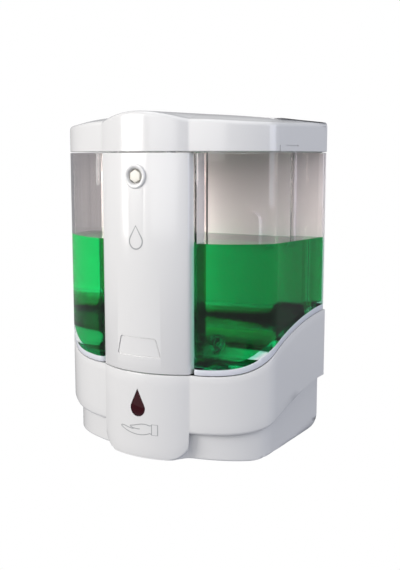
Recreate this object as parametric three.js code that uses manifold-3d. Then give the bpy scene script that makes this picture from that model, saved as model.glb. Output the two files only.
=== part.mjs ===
// Automatic wall-mounted soap dispenser: a clear reservoir held in a white ABS case, with a keyed lid,
// a battery-driven gear pump and an infra-red sensor under the front bulge.
// Millimetres. The wall is the plane Y = 0, the front faces -Y and +Z is up. The origin is the centre of
// the wall plate's back face.
import * as THREE from 'three';
import { mergeVertices } from 'three/addons/utils/BufferGeometryUtils.js';
import Module from 'manifold-3d';

const wasm = await Module();
wasm.setup();

// ---------------------------------------------------------------- driving dimensions
const FIT = 0.3; // between pieces that touch
const LOOSE = 0.4; // along long edges and round openings
const SEAM = 0.7; // visible joint lines between the covers
const LAP = 0.1; // overlap of shapes joined into one piece
const WALL = 2.5; // cover walls
const FAR = 300; // larger than the whole case, for cutting shapes

// Plan of the case.
const HALF_WIDTH = 89; // at the wall
const SIDE_TAPER = 7.6; // each side leans in by this much at its front
const CORNER = { x: HALF_WIDTH - SIDE_TAPER, y: -67.5 }; // where front face and side would meet
const CORNER_CUT = 2.8; // length the corner's rounding takes from each side
const SKIRT_CORNER_CUT = 6; // the same on the skirt, which is rounder
const COLUMN_HALF = 33.8; // half width of the central column
const COLUMN_EDGE_Y = -93.1;
const BULGE = 10.4; // how far the column stands out in front of its edges
const FACE_BOW = 8.1; // control offset of the bowed front faces
const CASE_BACK_Y = -1; // case pieces stop this short of the wall

// Levels.
const LID_BOTTOM = 88;
const LID_EDGE = LID_BOTTOM + 20.2;
const LID_CROWN = LID_BOTTOM + 25.8;
const DECK_FRONT_Z = -55;
const LEDGE_FRONT_Z = -95;
const CASE_BOTTOM = -113;
const SOAP_LEVEL = 30.2;

// Deck edge in side view: flat at the front, an S to the back. A lead is the pull at its middle.
const DECK = { middle: { y: -66.1, z: -41.3 }, lead: { x: 6, z: 5.2 }, backZ: -20, thick: 3.6 };
// Ledge under the cover, and the skirt below it.
const LEDGE = { middle: { y: -65, z: -87.5 }, lead: { x: 4, z: 1.4 }, backZ: -69.7 };
const S_CURVE = { front: 11, back: 0.5, backDrop: 2 }; // control points of both edges
const SKIRT_INSET = 5;
const SKIRT_ROUND = 17;
const BULGE_ROUND = 10;
const BULGE_RAISED = 1; // the column's bottom stands this much above the skirt's

// Wall plate and back housing.
const PLATE = { halfWidth: 52, halfHeight: 72, thick: 2.5, radius: 10 };
const SLOT = { inFromEdge: 14, halfLength: 4, radius: 2.3 };
const STUD = { x: 36, z: 40, neck: 2.5, head: 4.5, headThick: 1.7, drop: 12, slack: 0.4, headSlack: 0.6 };
const CAP_WALL = 1; // over the keyholes behind the reservoir
const PANEL = {
  thick: 2.4, inFromSide: 3.6, overLidBottom: 10, pocketSide: 11.4, pocketGap: 3.1, sideGap: 0.6,
};
const PANEL_FRONT_Y = CASE_BACK_Y - PANEL.thick;
const POCKET_BACK_Y = -PLATE.thick - PANEL.pocketGap;
const POCKET_FRONT_Y = POCKET_BACK_Y - PANEL.thick;
const POCKET_HALF = PLATE.halfWidth + PANEL.pocketSide;
const PANEL_TOP = LID_BOTTOM + PANEL.overLidBottom;
const SCREW = { shank: 1.5, head: 3, headHeight: 1.6, length: 14 };
const BOSS = { half: 4, depth: 15.3 };

// Reservoir.
const TANK_WALL = 2.3;
const TANK_BACK_Y = PANEL_FRONT_Y - LOOSE;
const RECESS = { half: COLUMN_HALF + 1.3, depth: 18.6, round: 5 };
const RECESS_Y = COLUMN_EDGE_Y + RECESS.depth;
// The reservoir's back steps forward over the wall plate and the caps on its studs.
const capInnerY = POCKET_FRONT_Y - 2 * FIT - STUD.headThick;
const capFrontY = capInnerY - CAP_WALL;
const TANK_POCKET = { half: POCKET_HALF + PANEL.thick + FIT, y: capFrontY - FIT };

// Lid, its hinge and its lock.
const LID_BACK_Y = -3;
const LID_BEVEL = 3;
const LID_SLOPE_Y = -45; // the lid's top falls to the back behind this line
const EYE_WIDTH = { housing: 6, lid: 5.5 };
const HINGE_EYE = 2.5;
const EYE_UNDER_ROOF = 0.2;
const HINGE = {
  x: 53, y: LID_BACK_Y - 2 - HINGE_EYE, z: LID_EDGE - WALL - EYE_UNDER_ROOF - HINGE_EYE,
  pin: 1.2, pinHalf: 8.4,
};
const LUG_HALF = EYE_WIDTH.housing / 2 + LOOSE;
const LABEL = { low: 10.8, high: 23, lowHalf: 16.8, highHalf: 13.5, depth: 0.8 };
const LOCK = {
  z: LID_BOTTOM - 15.5, bezel: 8, bezelFront: 7.5, proud: 1.1, mouth: 5.2, mouthDepth: 4,
  sleeve: 5.9, sleeveLength: 14.5, shaft: 2.4, hexFlats: 7.4, hexDepth: 2.7, hexProud: 0.5,
};
const NUT = { radius: 9, thick: 3.2, gap: 0.9 };
const CAM = { reach: 12.5, half: 3.5, eye: 4.5, thick: 2.4, behind: 19.2, screw: 4, screwHead: 1.5 };
const STRIKER = { x0: 14, x1: 17.5, thick: 5, foot: 3.5, topDrop: 4.3, socketWall: 1.5, socketDepth: 9 };
const STRIKER_PIN = { radius: 1.5, lift: 0.6, from: 8.5, head: 2.4, headThick: 1.2, slack: 0.1 };

// Batteries: four C cells standing in a row, and the door under them.
const CELL_RADIUS = 13;
const CELL = { height: 50, nub: 3, nubHeight: 1.5, gap: 1.2, bottom: CASE_BOTTOM + 4.2 };
const BOX = { wall: 1.8, backWall: 1.2, gap: 0.6, endGap: 0.7, springRoom: 5, behind: 1.2 };
const COIL = { turns: 2.5, wire: 0.5, radius: 3.4, steps: 20 };
const TRAY = { bottom: CASE_BOTTOM + 0.2, top: CASE_BOTTOM + 3.7 };
const DOOR = { thick: 1.9, pin: 0.8, pinOut: 2.6, padHalf: 17, padBack: 6, padFront: 4, padGap: 1.1 };
const CONTACT = { in: 1, edge: 0.5, top: 0.3, bottom: 0.8 };

// Gear pump under the reservoir's outlet, and its motor.
const PITCH_RADIUS = 7.2;
const GEAR = { teeth: 10, tip: PITCH_RADIUS + 1, root: PITCH_RADIUS - 1.1, thick: 10.2, tipGap: 0.5 };
const TOOTH = { rootShare: 0.27, tipShare: 0.1 }; // half widths as shares of the tooth spacing
const PUMP = { x: 36.5, bottom: -83, top: -69, floor: 3, cover: 2.4, middleFromBox: 22.8, end: 4.4 };
const PUMP_SIDE = { left: GEAR.tip + 3.8, right: GEAR.tip + 5.8 };
const PORT = { length: 6, chamberHalf: 2.2, chamberLeft: 7.6, chamberRight: 1.6 };
const INLET = { x: PUMP.x + GEAR.tip - 0.1, spigotTop: -61.5 };
const OUTLET = { x: INLET.x - 2.6, bore: 1.8, radius: 3, bottom: -55, ahead: 7.3, joint: 1 };
const SHAFT = 1.2;
const IDLER_PIN = 1.5;
const MOTOR = { radius: 10.2, flat: 15.2, gap: 0.4, length: 25.2, floor: 4, shaftFloor: 5, shaftTopGap: 0.8 };
const HOSE = { wall: 1.4, slack: 0.45, overlap: 5, stub: 0.4, bend: 4, steps: 12 };
const NOZZLE = { y: -76, radius: 5, skirtWall: 1, flange: 7.2, flangeThick: 2, bore: 1.8, height: 13.3 };
const VALVE = { bottom: 1.9, bore: 0.9, recess: 0.4 };

// Sensor board behind the lens, and the switch in the tray.
const BOARD = {
  half: 25, bottom: -100, top: -60, y: -90.4, thick: 1.6, screwX: 20, screwDrop: 4, screwOut: 2,
};
const LENS = { radius: 5.45, z: -79.4, tip: -66.5, depth: 4.5, recess: 0.4 };
const LED = { radius: 2.5, tip: 1.4, base: 3.2, length: 5 };
const EYE = { x: 7, y: -93.4, radius: 2.5, nose: 1.6, bottom: 2, shoulder: 4, top: 7 };
const WINDOW = { half: 12.7, depthHalf: 3.7, flangeHalf: 14.5, flangeDepthHalf: 5, top: 1.5 };
const SWITCH = { x: -42, y: -62, travel: 4, half: 2, depthHalf: 1.8, bodyEnd: 7, bodyHalf: 4, bodyTop: 7 };
const SLIDER = { recess: 0.6, top: 2.4, roomTop: 3 };

// ---------------------------------------------------------------- finishes
const finish = (color, roughness, metalness = 0, opacity = 1) => ({ color, roughness, metalness, opacity });
const WHITE = finish(0xf3f3f1, 0.28);
const GREY = finish(0xcfd2da, 0.4);
const CLEAR = finish(0xe2dcda, 0.08, 0, 0.4);
const SOAP = finish(0x059a4b, 0.1, 0, 0.85);
const STEEL = finish(0xb9bcc0, 0.35, 1);
const BRASS = finish(0xc8a24a, 0.35, 1);
const BLACK = finish(0x1c1c1e, 0.5);
const RED = finish(0x55101a, 0.1, 0, 0.8);
const SILICONE = finish(0xdedfdc, 0.6);
const NATURAL = finish(0xe8e4d6, 0.45);
const BOARD_GREEN = finish(0x1d5a35, 0.5);

// ---------------------------------------------------------------- solids
function solid(geometry) {
  const bare = new THREE.BufferGeometry();
  bare.setAttribute('position', geometry.getAttribute('position').clone());
  if (geometry.index) bare.setIndex(geometry.index.clone());
  const merged = mergeVertices(bare, 1e-4);
  return new wasm.Manifold(new wasm.Mesh({
    numProp: 3,
    vertProperties: new Float32Array(merged.attributes.position.array),
    triVerts: new Uint32Array(merged.index.array),
  }));
}
const join = (first, ...others) => others.reduce((whole, other) => whole.add(other), first);
const cut = (first, ...others) => others.reduce((whole, other) => whole.subtract(other), first);
const common = (first, ...others) => others.reduce((whole, other) => whole.intersect(other), first);

const extruded = (shape, depth) =>
  new THREE.ExtrudeGeometry(shape, { depth, bevelEnabled: false, curveSegments: 8 });
// A plan (x, y) raised from z0 to z1.
function planPrism(shape, z0, z1) {
  return solid(extruded(shape, z1 - z0).translate(0, 0, z0));
}
// A side view (y, z) carried from x0 to x1.
function sidePrism(shape, x0, x1) {
  const axes = new THREE.Matrix4().makeBasis(
    new THREE.Vector3(0, 1, 0), new THREE.Vector3(0, 0, 1), new THREE.Vector3(1, 0, 0));
  return solid(extruded(shape, x1 - x0).applyMatrix4(axes).translate(x0, 0, 0));
}
// A front view (x, z) carried forward from yBack to yFront.
function frontPrism(shape, yBack, yFront) {
  return solid(extruded(shape, yBack - yFront).rotateX(Math.PI / 2).translate(0, yBack, 0));
}
function block(x0, x1, y0, y1, z0, z1) {
  const box = new THREE.BoxGeometry(Math.abs(x1 - x0), Math.abs(y1 - y0), Math.abs(z1 - z0));
  return solid(box.translate((x0 + x1) / 2, (y0 + y1) / 2, (z0 + z1) / 2));
}
// Cylinders between two ends along each axis; rFar is the radius at the second end.
function post(x, y, z0, z1, radius, sides = 20, rFar = radius) {
  const shape = new THREE.CylinderGeometry(rFar, radius, z1 - z0, sides).rotateX(Math.PI / 2);
  return solid(shape.translate(x, y, (z0 + z1) / 2));
}
function bar(y, z, x0, x1, radius, sides = 16) {
  const shape = new THREE.CylinderGeometry(radius, radius, x1 - x0, sides).rotateZ(-Math.PI / 2);
  return solid(shape.translate((x0 + x1) / 2, y, z));
}
// Forward along -Y, from yBack to yFront.
function stub(x, z, yBack, yFront, radius, sides = 20, rFront = radius) {
  const shape = new THREE.CylinderGeometry(radius, rFront, yBack - yFront, sides);
  return solid(shape.translate(x, (yBack + yFront) / 2, z));
}
const drilled = (x, z, radius, sides = 16) => stub(x, z, CASE_BACK_Y, -FAR, radius, sides);

const model = new THREE.Group();
function part(name, made, look) {
  const mesh = made.getMesh();
  const geometry = new THREE.BufferGeometry();
  geometry.setAttribute('position', new THREE.BufferAttribute(mesh.vertProperties, 3));
  geometry.setIndex(new THREE.BufferAttribute(mesh.triVerts, 1));
  geometry.computeVertexNormals();
  const material = new THREE.MeshStandardMaterial({ ...look, transparent: look.opacity < 1 });
  const node = new THREE.Mesh(geometry, material);
  node.name = name;
  model.add(node);
}

// ---------------------------------------------------------------- outlines
const point = (x, y) => new THREE.Vector2(x, y);
const toward = (from, to, distance) => from.clone().add(to.clone().sub(from).setLength(distance));
const mirrored = (points) => points.map((p) => point(-p.x, p.y)).reverse();
function distinct(points) {
  return points.filter((p, i) => p.distanceTo(points[(i + 1) % points.length]) > 1e-3);
}
const polygon = (points) => new THREE.Shape(distinct(points));
// Moves a closed, anticlockwise outline inwards by a distance.
function insetLoop(points, distance) {
  const loop = distinct(points);
  return loop.map((p, i) => {
    const before = p.clone().sub(loop[(i + loop.length - 1) % loop.length]).normalize();
    const after = loop[(i + 1) % loop.length].clone().sub(p).normalize();
    const miter = point(-before.y - after.y, before.x + after.x).normalize();
    const sharpest = 0.3; // keeps the offset of a sharp corner within reason
    const reach = distance / Math.max(sharpest, miter.dot(point(-before.y, before.x)));
    return p.clone().addScaledVector(miter, reach);
  });
}

// The bowed front face and side on +x, from the column's edge to the back.
const columnEdge = point(COLUMN_HALF, COLUMN_EDGE_Y);
const cornerPoint = point(CORNER.x, CORNER.y);
const sideBack = point(HALF_WIDTH, 0);
const faceMiddle = columnEdge.clone().add(cornerPoint).multiplyScalar(0.5);
const faceControl = faceMiddle.clone().add(
  point(CORNER.y - COLUMN_EDGE_Y, COLUMN_HALF - CORNER.x).setLength(FACE_BOW));
function faceAndSide(backY, cornerCut = CORNER_CUT) {
  const faceEnd = toward(cornerPoint, faceControl, cornerCut);
  const sideStart = toward(cornerPoint, sideBack, cornerCut);
  const atBack = sideBack.clone().lerp(cornerPoint, backY / CORNER.y);
  return [
    ...new THREE.QuadraticBezierCurve(columnEdge, faceControl, faceEnd).getPoints(7),
    ...new THREE.QuadraticBezierCurve(faceEnd, cornerPoint, sideStart).getPoints(3),
    atBack,
  ];
}
// The column's arc, from its centre to its edge.
const bulgeRadius = (COLUMN_HALF ** 2 + BULGE ** 2) / (2 * BULGE);
const bulgeCentreY = COLUMN_EDGE_Y - BULGE + bulgeRadius;
const columnFrontY = (x) => bulgeCentreY - Math.sqrt(bulgeRadius ** 2 - x ** 2);
const COLUMN_STEPS = 7;
const halfBulge = Array.from({ length: COLUMN_STEPS }, (_, i) => {
  const x = (COLUMN_HALF * i) / COLUMN_STEPS;
  return point(x, columnFrontY(x));
});
function wholeLoop(right) {
  return [...right, ...mirrored(right)];
}
const caseLoop = (backY) => wholeLoop([...halfBulge, ...faceAndSide(backY)]);
// The skirt's plan, without the column.
const skirtLoop = (backY) => wholeLoop(faceAndSide(backY, SKIRT_CORNER_CUT));
// The column alone, closed straight across behind its front.
const columnLoop = (backY) => wholeLoop([...halfBulge, columnEdge, point(COLUMN_HALF, backY)]);
// The reservoir's plan: a recess round the column and a pocket over the wall plate.
function tankLoop() {
  const [, faceStart, ...rest] = faceAndSide(TANK_BACK_Y);
  const edgeY = COLUMN_EDGE_Y + FIT;
  const rounding = new THREE.QuadraticBezierCurve(
    point(RECESS.half, edgeY + RECESS.round), point(RECESS.half, edgeY), faceStart);
  return wholeLoop([
    point(RECESS.half, RECESS_Y), ...rounding.getPoints(4), ...rest,
    point(TANK_POCKET.half, TANK_BACK_Y), point(TANK_POCKET.half, TANK_POCKET.y),
  ]);
}

// Side-view edges, front to back, carried past the case at both ends.
function sideEdge(frontZ, { middle, lead, backZ }) {
  const start = point(COLUMN_EDGE_Y, frontZ);
  const knee = point(middle.y, middle.z);
  const rise = point(lead.x, lead.z);
  const end = point(0, backZ);
  const beforeEnd = point(middle.y * S_CURVE.back, backZ - S_CURVE.backDrop);
  const front = point(middle.y - S_CURVE.front, frontZ);
  return [
    point(-FAR, frontZ),
    ...new THREE.CubicBezierCurve(start, front, knee.clone().sub(rise), knee).getPoints(6),
    ...new THREE.CubicBezierCurve(knee, knee.clone().add(rise), beforeEnd, end).getPoints(6).slice(1),
    point(FAR, backZ),
  ];
}
const deckEdge = sideEdge(DECK_FRONT_Z, DECK);
const ledgeEdge = sideEdge(LEDGE_FRONT_Z, LEDGE);
// Moves a side-view edge up square to itself.
function raised(edge, distance) {
  return edge.map((p, i) => {
    const before = edge[Math.max(0, i - 1)];
    const after = edge[Math.min(edge.length - 1, i + 1)];
    const along = after.clone().sub(before).normalize();
    return p.clone().addScaledVector(point(-along.y, along.x), distance);
  });
}
const aboveEdge = (edge) => sidePrism(polygon([...edge, point(FAR, FAR), point(-FAR, FAR)]), -FAR, FAR);
const belowEdge = (edge) =>
  sidePrism(polygon([...edge, point(FAR, -FAR), point(-FAR, -FAR)].reverse()), -FAR, FAR);

// Front view of the skirt: straight sides and large rounded lower corners.
function skirtFront(halfWidth, radius, bottom) {
  const shape = new THREE.Shape();
  shape.moveTo(-halfWidth, FAR);
  shape.lineTo(-halfWidth, bottom + radius);
  shape.absarc(-halfWidth + radius, bottom + radius, radius, Math.PI, 1.5 * Math.PI);
  shape.absarc(halfWidth - radius, bottom + radius, radius, 1.5 * Math.PI, 2 * Math.PI);
  shape.lineTo(halfWidth, FAR);
  return frontPrism(shape, FAR, -FAR);
}

// ---------------------------------------------------------------- wall plate and back housing
// A countersunk screw, or the hole for it when out is a clearance.
function countersink({ x, z }, out = 0) {
  const seat = CASE_BACK_Y - FIT;
  return join(
    stub(x, z, CASE_BACK_Y + 1, seat, SCREW.head + out, 16),
    stub(x, z, seat, seat - SCREW.headHeight, SCREW.head + out, 16, SCREW.shank + out),
    stub(x, z, seat - SCREW.headHeight / 2, CASE_BACK_Y - SCREW.length - 1, SCREW.shank + out, 16));
}
function wallPlate() {
  const { halfWidth: w, halfHeight: h, radius: r, thick } = PLATE;
  const shape = new THREE.Shape();
  shape.absarc(w - r, h - r, r, 0, Math.PI / 2);
  shape.absarc(-w + r, h - r, r, Math.PI / 2, Math.PI);
  shape.absarc(-w + r, -h + r, r, Math.PI, 1.5 * Math.PI);
  shape.absarc(w - r, -h + r, r, 1.5 * Math.PI, 2 * Math.PI);
  const slots = [-w + SLOT.inFromEdge, w - SLOT.inFromEdge].flatMap((x) =>
    [-h + SLOT.inFromEdge, h - SLOT.inFromEdge].flatMap((z) => [
      block(x - SLOT.halfLength, x + SLOT.halfLength, FAR, -FAR, z - SLOT.radius, z + SLOT.radius),
      ...[-1, 1].map((s) => stub(x + s * SLOT.halfLength, z, FAR, -FAR, SLOT.radius, 12)),
    ]));
  const headBack = POCKET_FRONT_Y - FIT;
  const studs = [-STUD.x, STUD.x].flatMap((x) => [-STUD.z, STUD.z].flatMap((z) => [
    stub(x, z, -thick / 2, headBack - LAP, STUD.neck, 16),
    stub(x, z, headBack, headBack - STUD.headThick, STUD.head, 16),
  ]));
  return join(cut(frontPrism(shape, 0, -thick), ...slots), ...studs);
}
part('wall_plate', wallPlate(), STEEL);

const coverScrews = [-1, 1].flatMap((side) => [
  { x: side * (HALF_WIDTH - 10.5), z: -34 }, { x: side * (HALF_WIDTH - 13), z: -84 },
]);
const panelBottom = CASE_BOTTOM + WALL + FIT;
function backHousing() {
  const half = HALF_WIDTH - PANEL.inFromSide;
  const pocketOuter = POCKET_HALF + PANEL.thick;
  const panel = planPrism(polygon([
    point(-half, CASE_BACK_Y), point(-half, PANEL_FRONT_Y), point(-pocketOuter, PANEL_FRONT_Y),
    point(-pocketOuter, POCKET_FRONT_Y), point(pocketOuter, POCKET_FRONT_Y),
    point(pocketOuter, PANEL_FRONT_Y),
    point(half, PANEL_FRONT_Y), point(half, CASE_BACK_Y), point(POCKET_HALF, CASE_BACK_Y),
    point(POCKET_HALF, POCKET_BACK_Y), point(-POCKET_HALF, POCKET_BACK_Y), point(-POCKET_HALF, CASE_BACK_Y),
  ]), panelBottom, PANEL_TOP);
  const insideSkirt = join(
    skirtFront(HALF_WIDTH - SKIRT_INSET - WALL - FIT - PANEL.sideGap, SKIRT_ROUND, panelBottom),
    block(-FAR, FAR, -FAR, FAR, LEDGE.backZ + WALL, FAR));
  const lugs = [-HINGE.x, HINGE.x].flatMap((x) => {
    const eye = EYE_WIDTH.housing / 2;
    return [
      bar(HINGE.y, HINGE.z, x - eye, x + eye, HINGE_EYE),
      block(x - eye, x + eye, HINGE.y - HINGE_EYE, HINGE.y + HINGE_EYE, PANEL_TOP - PANEL.thick, HINGE.z),
    ];
  });
  const neck = STUD.neck + STUD.slack;
  const head = STUD.head + STUD.headSlack;
  const capped = (x, out, yFront) => join(
    stub(x, STUD.z, POCKET_BACK_Y - LAP, yFront, head + out, 16),
    stub(x, STUD.z - STUD.drop, POCKET_BACK_Y - LAP, yFront, head + out, 16),
    block(x - head - out, x + head + out, POCKET_BACK_Y - LAP, yFront, STUD.z - STUD.drop, STUD.z));
  const inFront = block(-FAR, FAR, POCKET_FRONT_Y, -FAR, -FAR, FAR);
  const caps = [-STUD.x, STUD.x].map((x) =>
    cut(capped(x, CAP_WALL, capFrontY), common(capped(x, 0, capInnerY), inFront)));
  const keyholes = [-STUD.x, STUD.x].flatMap((x) => [-STUD.z, STUD.z].flatMap((z) => [
    stub(x, z, CASE_BACK_Y, capInnerY, neck, 16),
    block(x - neck, x + neck, CASE_BACK_Y, capInnerY, z - STUD.drop, z),
    stub(x, z - STUD.drop, CASE_BACK_Y, capInnerY, head, 16),
  ]));
  const holes = coverScrews.map((screw) => countersink(screw, FIT));
  const eyes = bar(HINGE.y, HINGE.z, -FAR, FAR, HINGE.pin + FIT);
  return cut(join(common(panel, insideSkirt), ...lugs, ...caps), ...keyholes, ...holes, eyes);
}
part('back_housing', backHousing(), WHITE);
const screwRoom = block(-FAR, FAR, CASE_BACK_Y - FIT, CASE_BACK_Y - SCREW.length, -FAR, FAR);
coverScrews.forEach((screw, i) => part(`cover_screw_${i + 1}`, common(countersink(screw), screwRoom), STEEL));

// ---------------------------------------------------------------- lid
function lidTop(drop) {
  const steps = 12;
  const crown = Array.from({ length: steps + 1 }, (_, i) => {
    const x = HALF_WIDTH * (1 - (2 * i) / steps);
    const fall = (LID_CROWN - LID_EDGE) * (Math.abs(x) / HALF_WIDTH) ** 1.4;
    return point(x, LID_CROWN - fall - drop);
  });
  return frontPrism(polygon([point(-HALF_WIDTH - 1, 0), point(HALF_WIDTH + 1, 0), ...crown]), FAR, -FAR);
}
// The top falls to the back and its back edge is bevelled, so the open lid clears the wall.
function lidSlope(drop, backY) {
  return sidePrism(polygon([
    point(-FAR, 0), point(backY, 0), point(backY, LID_EDGE - drop - LID_BEVEL),
    point(LID_BACK_Y, LID_EDGE - drop - LID_BEVEL), point(LID_BACK_Y - LID_BEVEL, LID_EDGE - drop),
    point(LID_SLOPE_Y, LID_CROWN - drop), point(-FAR, LID_CROWN - drop),
  ]), -FAR, FAR);
}
const camY = columnFrontY(0) + CAM.behind; // back of the lock's cam
const camBottom = LOCK.z - CAM.half; // when it is turned to the side
const strikerY = camY - CAM.thick / 2;
const strikerTop = LID_CROWN - STRIKER.topDrop;
const strikerBlock = (out, z0, z1) => block(STRIKER.x0 - out, STRIKER.x1 + out,
  strikerY - STRIKER.thick / 2 - out, strikerY + STRIKER.thick / 2 + out, z0, z1);
function lid() {
  const lidBlock = (shape, drop, backY) => common(
    planPrism(polygon(shape), drop ? 0 : LID_BOTTOM, LID_CROWN + WALL), lidTop(drop), lidSlope(drop, backY));
  const outer = lidBlock(caseLoop(LID_BACK_Y), 0, LID_BACK_Y);
  const hollow = lidBlock(insetLoop(caseLoop(2 * WALL), WALL), WALL, FAR);
  const knuckles = [-1, 1].flatMap((side) => [-1, 1].flatMap((end) => {
    const inner = side * HINGE.x + end * LUG_HALF;
    const [x0, x1] = [inner, inner + end * EYE_WIDTH.lid].sort((a, b) => a - b);
    return [
      bar(HINGE.y, HINGE.z, x0, x1, HINGE_EYE),
      block(x0, x1, HINGE.y - HINGE_EYE, HINGE.y + HINGE_EYE, HINGE.z, LID_EDGE - WALL / 2),
    ];
  }));
  const socketBottom = strikerTop - STRIKER.socketDepth;
  const socket = strikerBlock(FIT + STRIKER.socketWall, socketBottom, strikerTop + WALL);
  const socketHole = strikerBlock(FIT, socketBottom - 1, strikerTop + FIT);
  const eyes = bar(HINGE.y, HINGE.z, -FAR, FAR, HINGE.pin + FIT);
  // Notches in the back rim let it swing past the housing's lugs.
  const notches = [-HINGE.x, HINGE.x].map((x) =>
    block(x - LUG_HALF, x + LUG_HALF, HINGE.y, 1, 0, LID_EDGE - WALL));
  return cut(join(cut(outer, hollow), ...knuckles, common(socket, outer)), eyes, socketHole, ...notches);
}
part('lid', lid(), WHITE);
for (const [name, side] of [['hinge_pin_left', -1], ['hinge_pin_right', 1]]) {
  const middle = side * HINGE.x;
  part(name, bar(HINGE.y, HINGE.z, middle - HINGE.pinHalf, middle + HINGE.pinHalf, HINGE.pin), STEEL);
}
// The striker hangs from the lid, and its pin is held down by the turned cam.
const pinZ = camBottom - STRIKER_PIN.lift - STRIKER_PIN.radius;
part('lid_striker', cut(
  strikerBlock(0, pinZ - STRIKER.foot, strikerTop),
  bar(strikerY, pinZ, STRIKER.x0 - 1, STRIKER.x1 + 1, STRIKER_PIN.radius + STRIKER_PIN.slack)), STEEL);
part('striker_pin', join(
  bar(strikerY, pinZ, STRIKER_PIN.from, STRIKER.x1 + FIT + LAP, STRIKER_PIN.radius),
  bar(strikerY, pinZ, STRIKER.x1 + FIT, STRIKER.x1 + FIT + STRIKER_PIN.headThick, STRIKER_PIN.head)), STEEL);

// ---------------------------------------------------------------- reservoir, soap and deck
const CELL_PITCH = 2 * CELL_RADIUS + CELL.gap;
const cellY = POCKET_FRONT_Y - BOX.behind - BOX.backWall - BOX.gap - CELL_RADIUS;
const boxBackY = cellY + CELL_RADIUS + BOX.gap;
const boxFrontY = cellY - CELL_RADIUS - BOX.gap;
const PUMP_HALF = 2 * PITCH_RADIUS + PUMP.end;
const pumpY = boxFrontY - BOX.wall - PUMP.middleFromBox;
const outletY = pumpY - OUTLET.ahead;

const tankShape = polygon(tankLoop());
const tankFloorEdge = raised(deckEdge, DECK.thick + FIT);
const TANK_TOP = LID_BOTTOM - SEAM;
function reservoir() {
  const outer = common(planPrism(tankShape, -FAR, TANK_TOP), aboveEdge(tankFloorEdge));
  const inner = common(
    planPrism(polygon(insetLoop(tankLoop(), TANK_WALL)), -FAR, FAR),
    aboveEdge(raised(tankFloorEdge, TANK_WALL)));
  const spigot = common(
    post(OUTLET.x, outletY, OUTLET.bottom, 0, OUTLET.radius, 16),
    belowEdge(raised(tankFloorEdge, OUTLET.joint)));
  return cut(join(cut(outer, inner), spigot), post(OUTLET.x, outletY, -FAR, 0, OUTLET.bore, 12));
}
part('reservoir', reservoir(), CLEAR);
part('soap', common(
  planPrism(polygon(insetLoop(tankLoop(), TANK_WALL + FIT)), -FAR, SOAP_LEVEL),
  aboveEdge(raised(tankFloorEdge, TANK_WALL + FIT))), SOAP);
part('deck', cut(
  common(planPrism(tankShape, -FAR, 0), aboveEdge(deckEdge), belowEdge(raised(deckEdge, DECK.thick))),
  post(OUTLET.x, outletY, -FAR, 0, OUTLET.radius + LOOSE, 16)), GREY);

// ---------------------------------------------------------------- column cover and lock
const columnFront = columnFrontY(0);
const innerFront = columnFront + WALL; // inner face of the column's front wall on the centre line
const lockCore = (radius, sides = 16) => stub(0, LOCK.z, RECESS_Y, -FAR, radius, sides);
function columnCover() {
  const bottom = DECK_FRONT_Z;
  const outer = planPrism(polygon(columnLoop(RECESS_Y - 1)), bottom, TANK_TOP);
  const inner = planPrism(
    polygon(insetLoop(columnLoop(RECESS_Y + 4 * WALL), WALL)), bottom - 1, TANK_TOP + 1);
  const behindSeat = planPrism(polygon(insetLoop(columnLoop(0), LABEL.depth)), -FAR, FAR);
  const labelSeat = cut(frontPrism(new THREE.Shape([
    point(-LABEL.lowHalf, bottom + LABEL.low), point(LABEL.lowHalf, bottom + LABEL.low),
    point(LABEL.highHalf, bottom + LABEL.high), point(-LABEL.highHalf, bottom + LABEL.high),
  ]), COLUMN_EDGE_Y, -FAR), behindSeat);
  return cut(outer, inner, labelSeat, lockCore(LOCK.sleeve + FIT, 24));
}
part('column_cover', columnCover(), WHITE);
part('lock_bezel', cut(
  stub(0, LOCK.z, columnFront - FIT, columnFront - LOCK.proud, LOCK.bezel, 28, LOCK.bezelFront),
  lockCore(LOCK.mouth + LOOSE, 24)), GREY);
part('lock_sleeve', cut(
  stub(0, LOCK.z, columnFront + LOCK.sleeveLength, columnFront + FIT, LOCK.sleeve, 24),
  lockCore(LOCK.shaft + FIT),
  stub(0, LOCK.z, columnFront + LOCK.mouthDepth, -FAR, LOCK.mouth, 24)), WHITE);
const nutFront = innerFront + NUT.gap;
part('lock_nut', cut(
  stub(0, LOCK.z, nutFront + NUT.thick, nutFront, NUT.radius, 6), lockCore(LOCK.sleeve + FIT, 24)), STEEL);
const shaftBack = camY + 2 * FIT;
const hexBack = columnFront + LOCK.hexDepth;
part('lock_spindle', join(
  stub(0, LOCK.z, hexBack, columnFront - LOCK.hexProud, LOCK.hexFlats / Math.sqrt(3), 6),
  stub(0, LOCK.z, shaftBack, hexBack - LAP, LOCK.shaft, 16)), NATURAL);
part('lock_cam', cut(
  join(block(-CAM.half, CAM.half, camY, camY - CAM.thick, camBottom, LOCK.z + CAM.reach),
    stub(0, LOCK.z, camY, camY - CAM.thick, CAM.eye, 20)),
  lockCore(LOCK.shaft + FIT)), STEEL);
const camScrewFront = shaftBack + FIT;
part('cam_screw', stub(0, LOCK.z, camScrewFront + CAM.screwHead, camScrewFront, CAM.screw, 16), STEEL);

// ---------------------------------------------------------------- lower cover, lens and tray
const SKIRT_SIDE = HALF_WIDTH - SKIRT_INSET;
const BULGE_BOTTOM = CASE_BOTTOM + BULGE_RAISED;
const innerColumnY = COLUMN_EDGE_Y / 2; // the column's hollow runs back to here under the case
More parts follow.
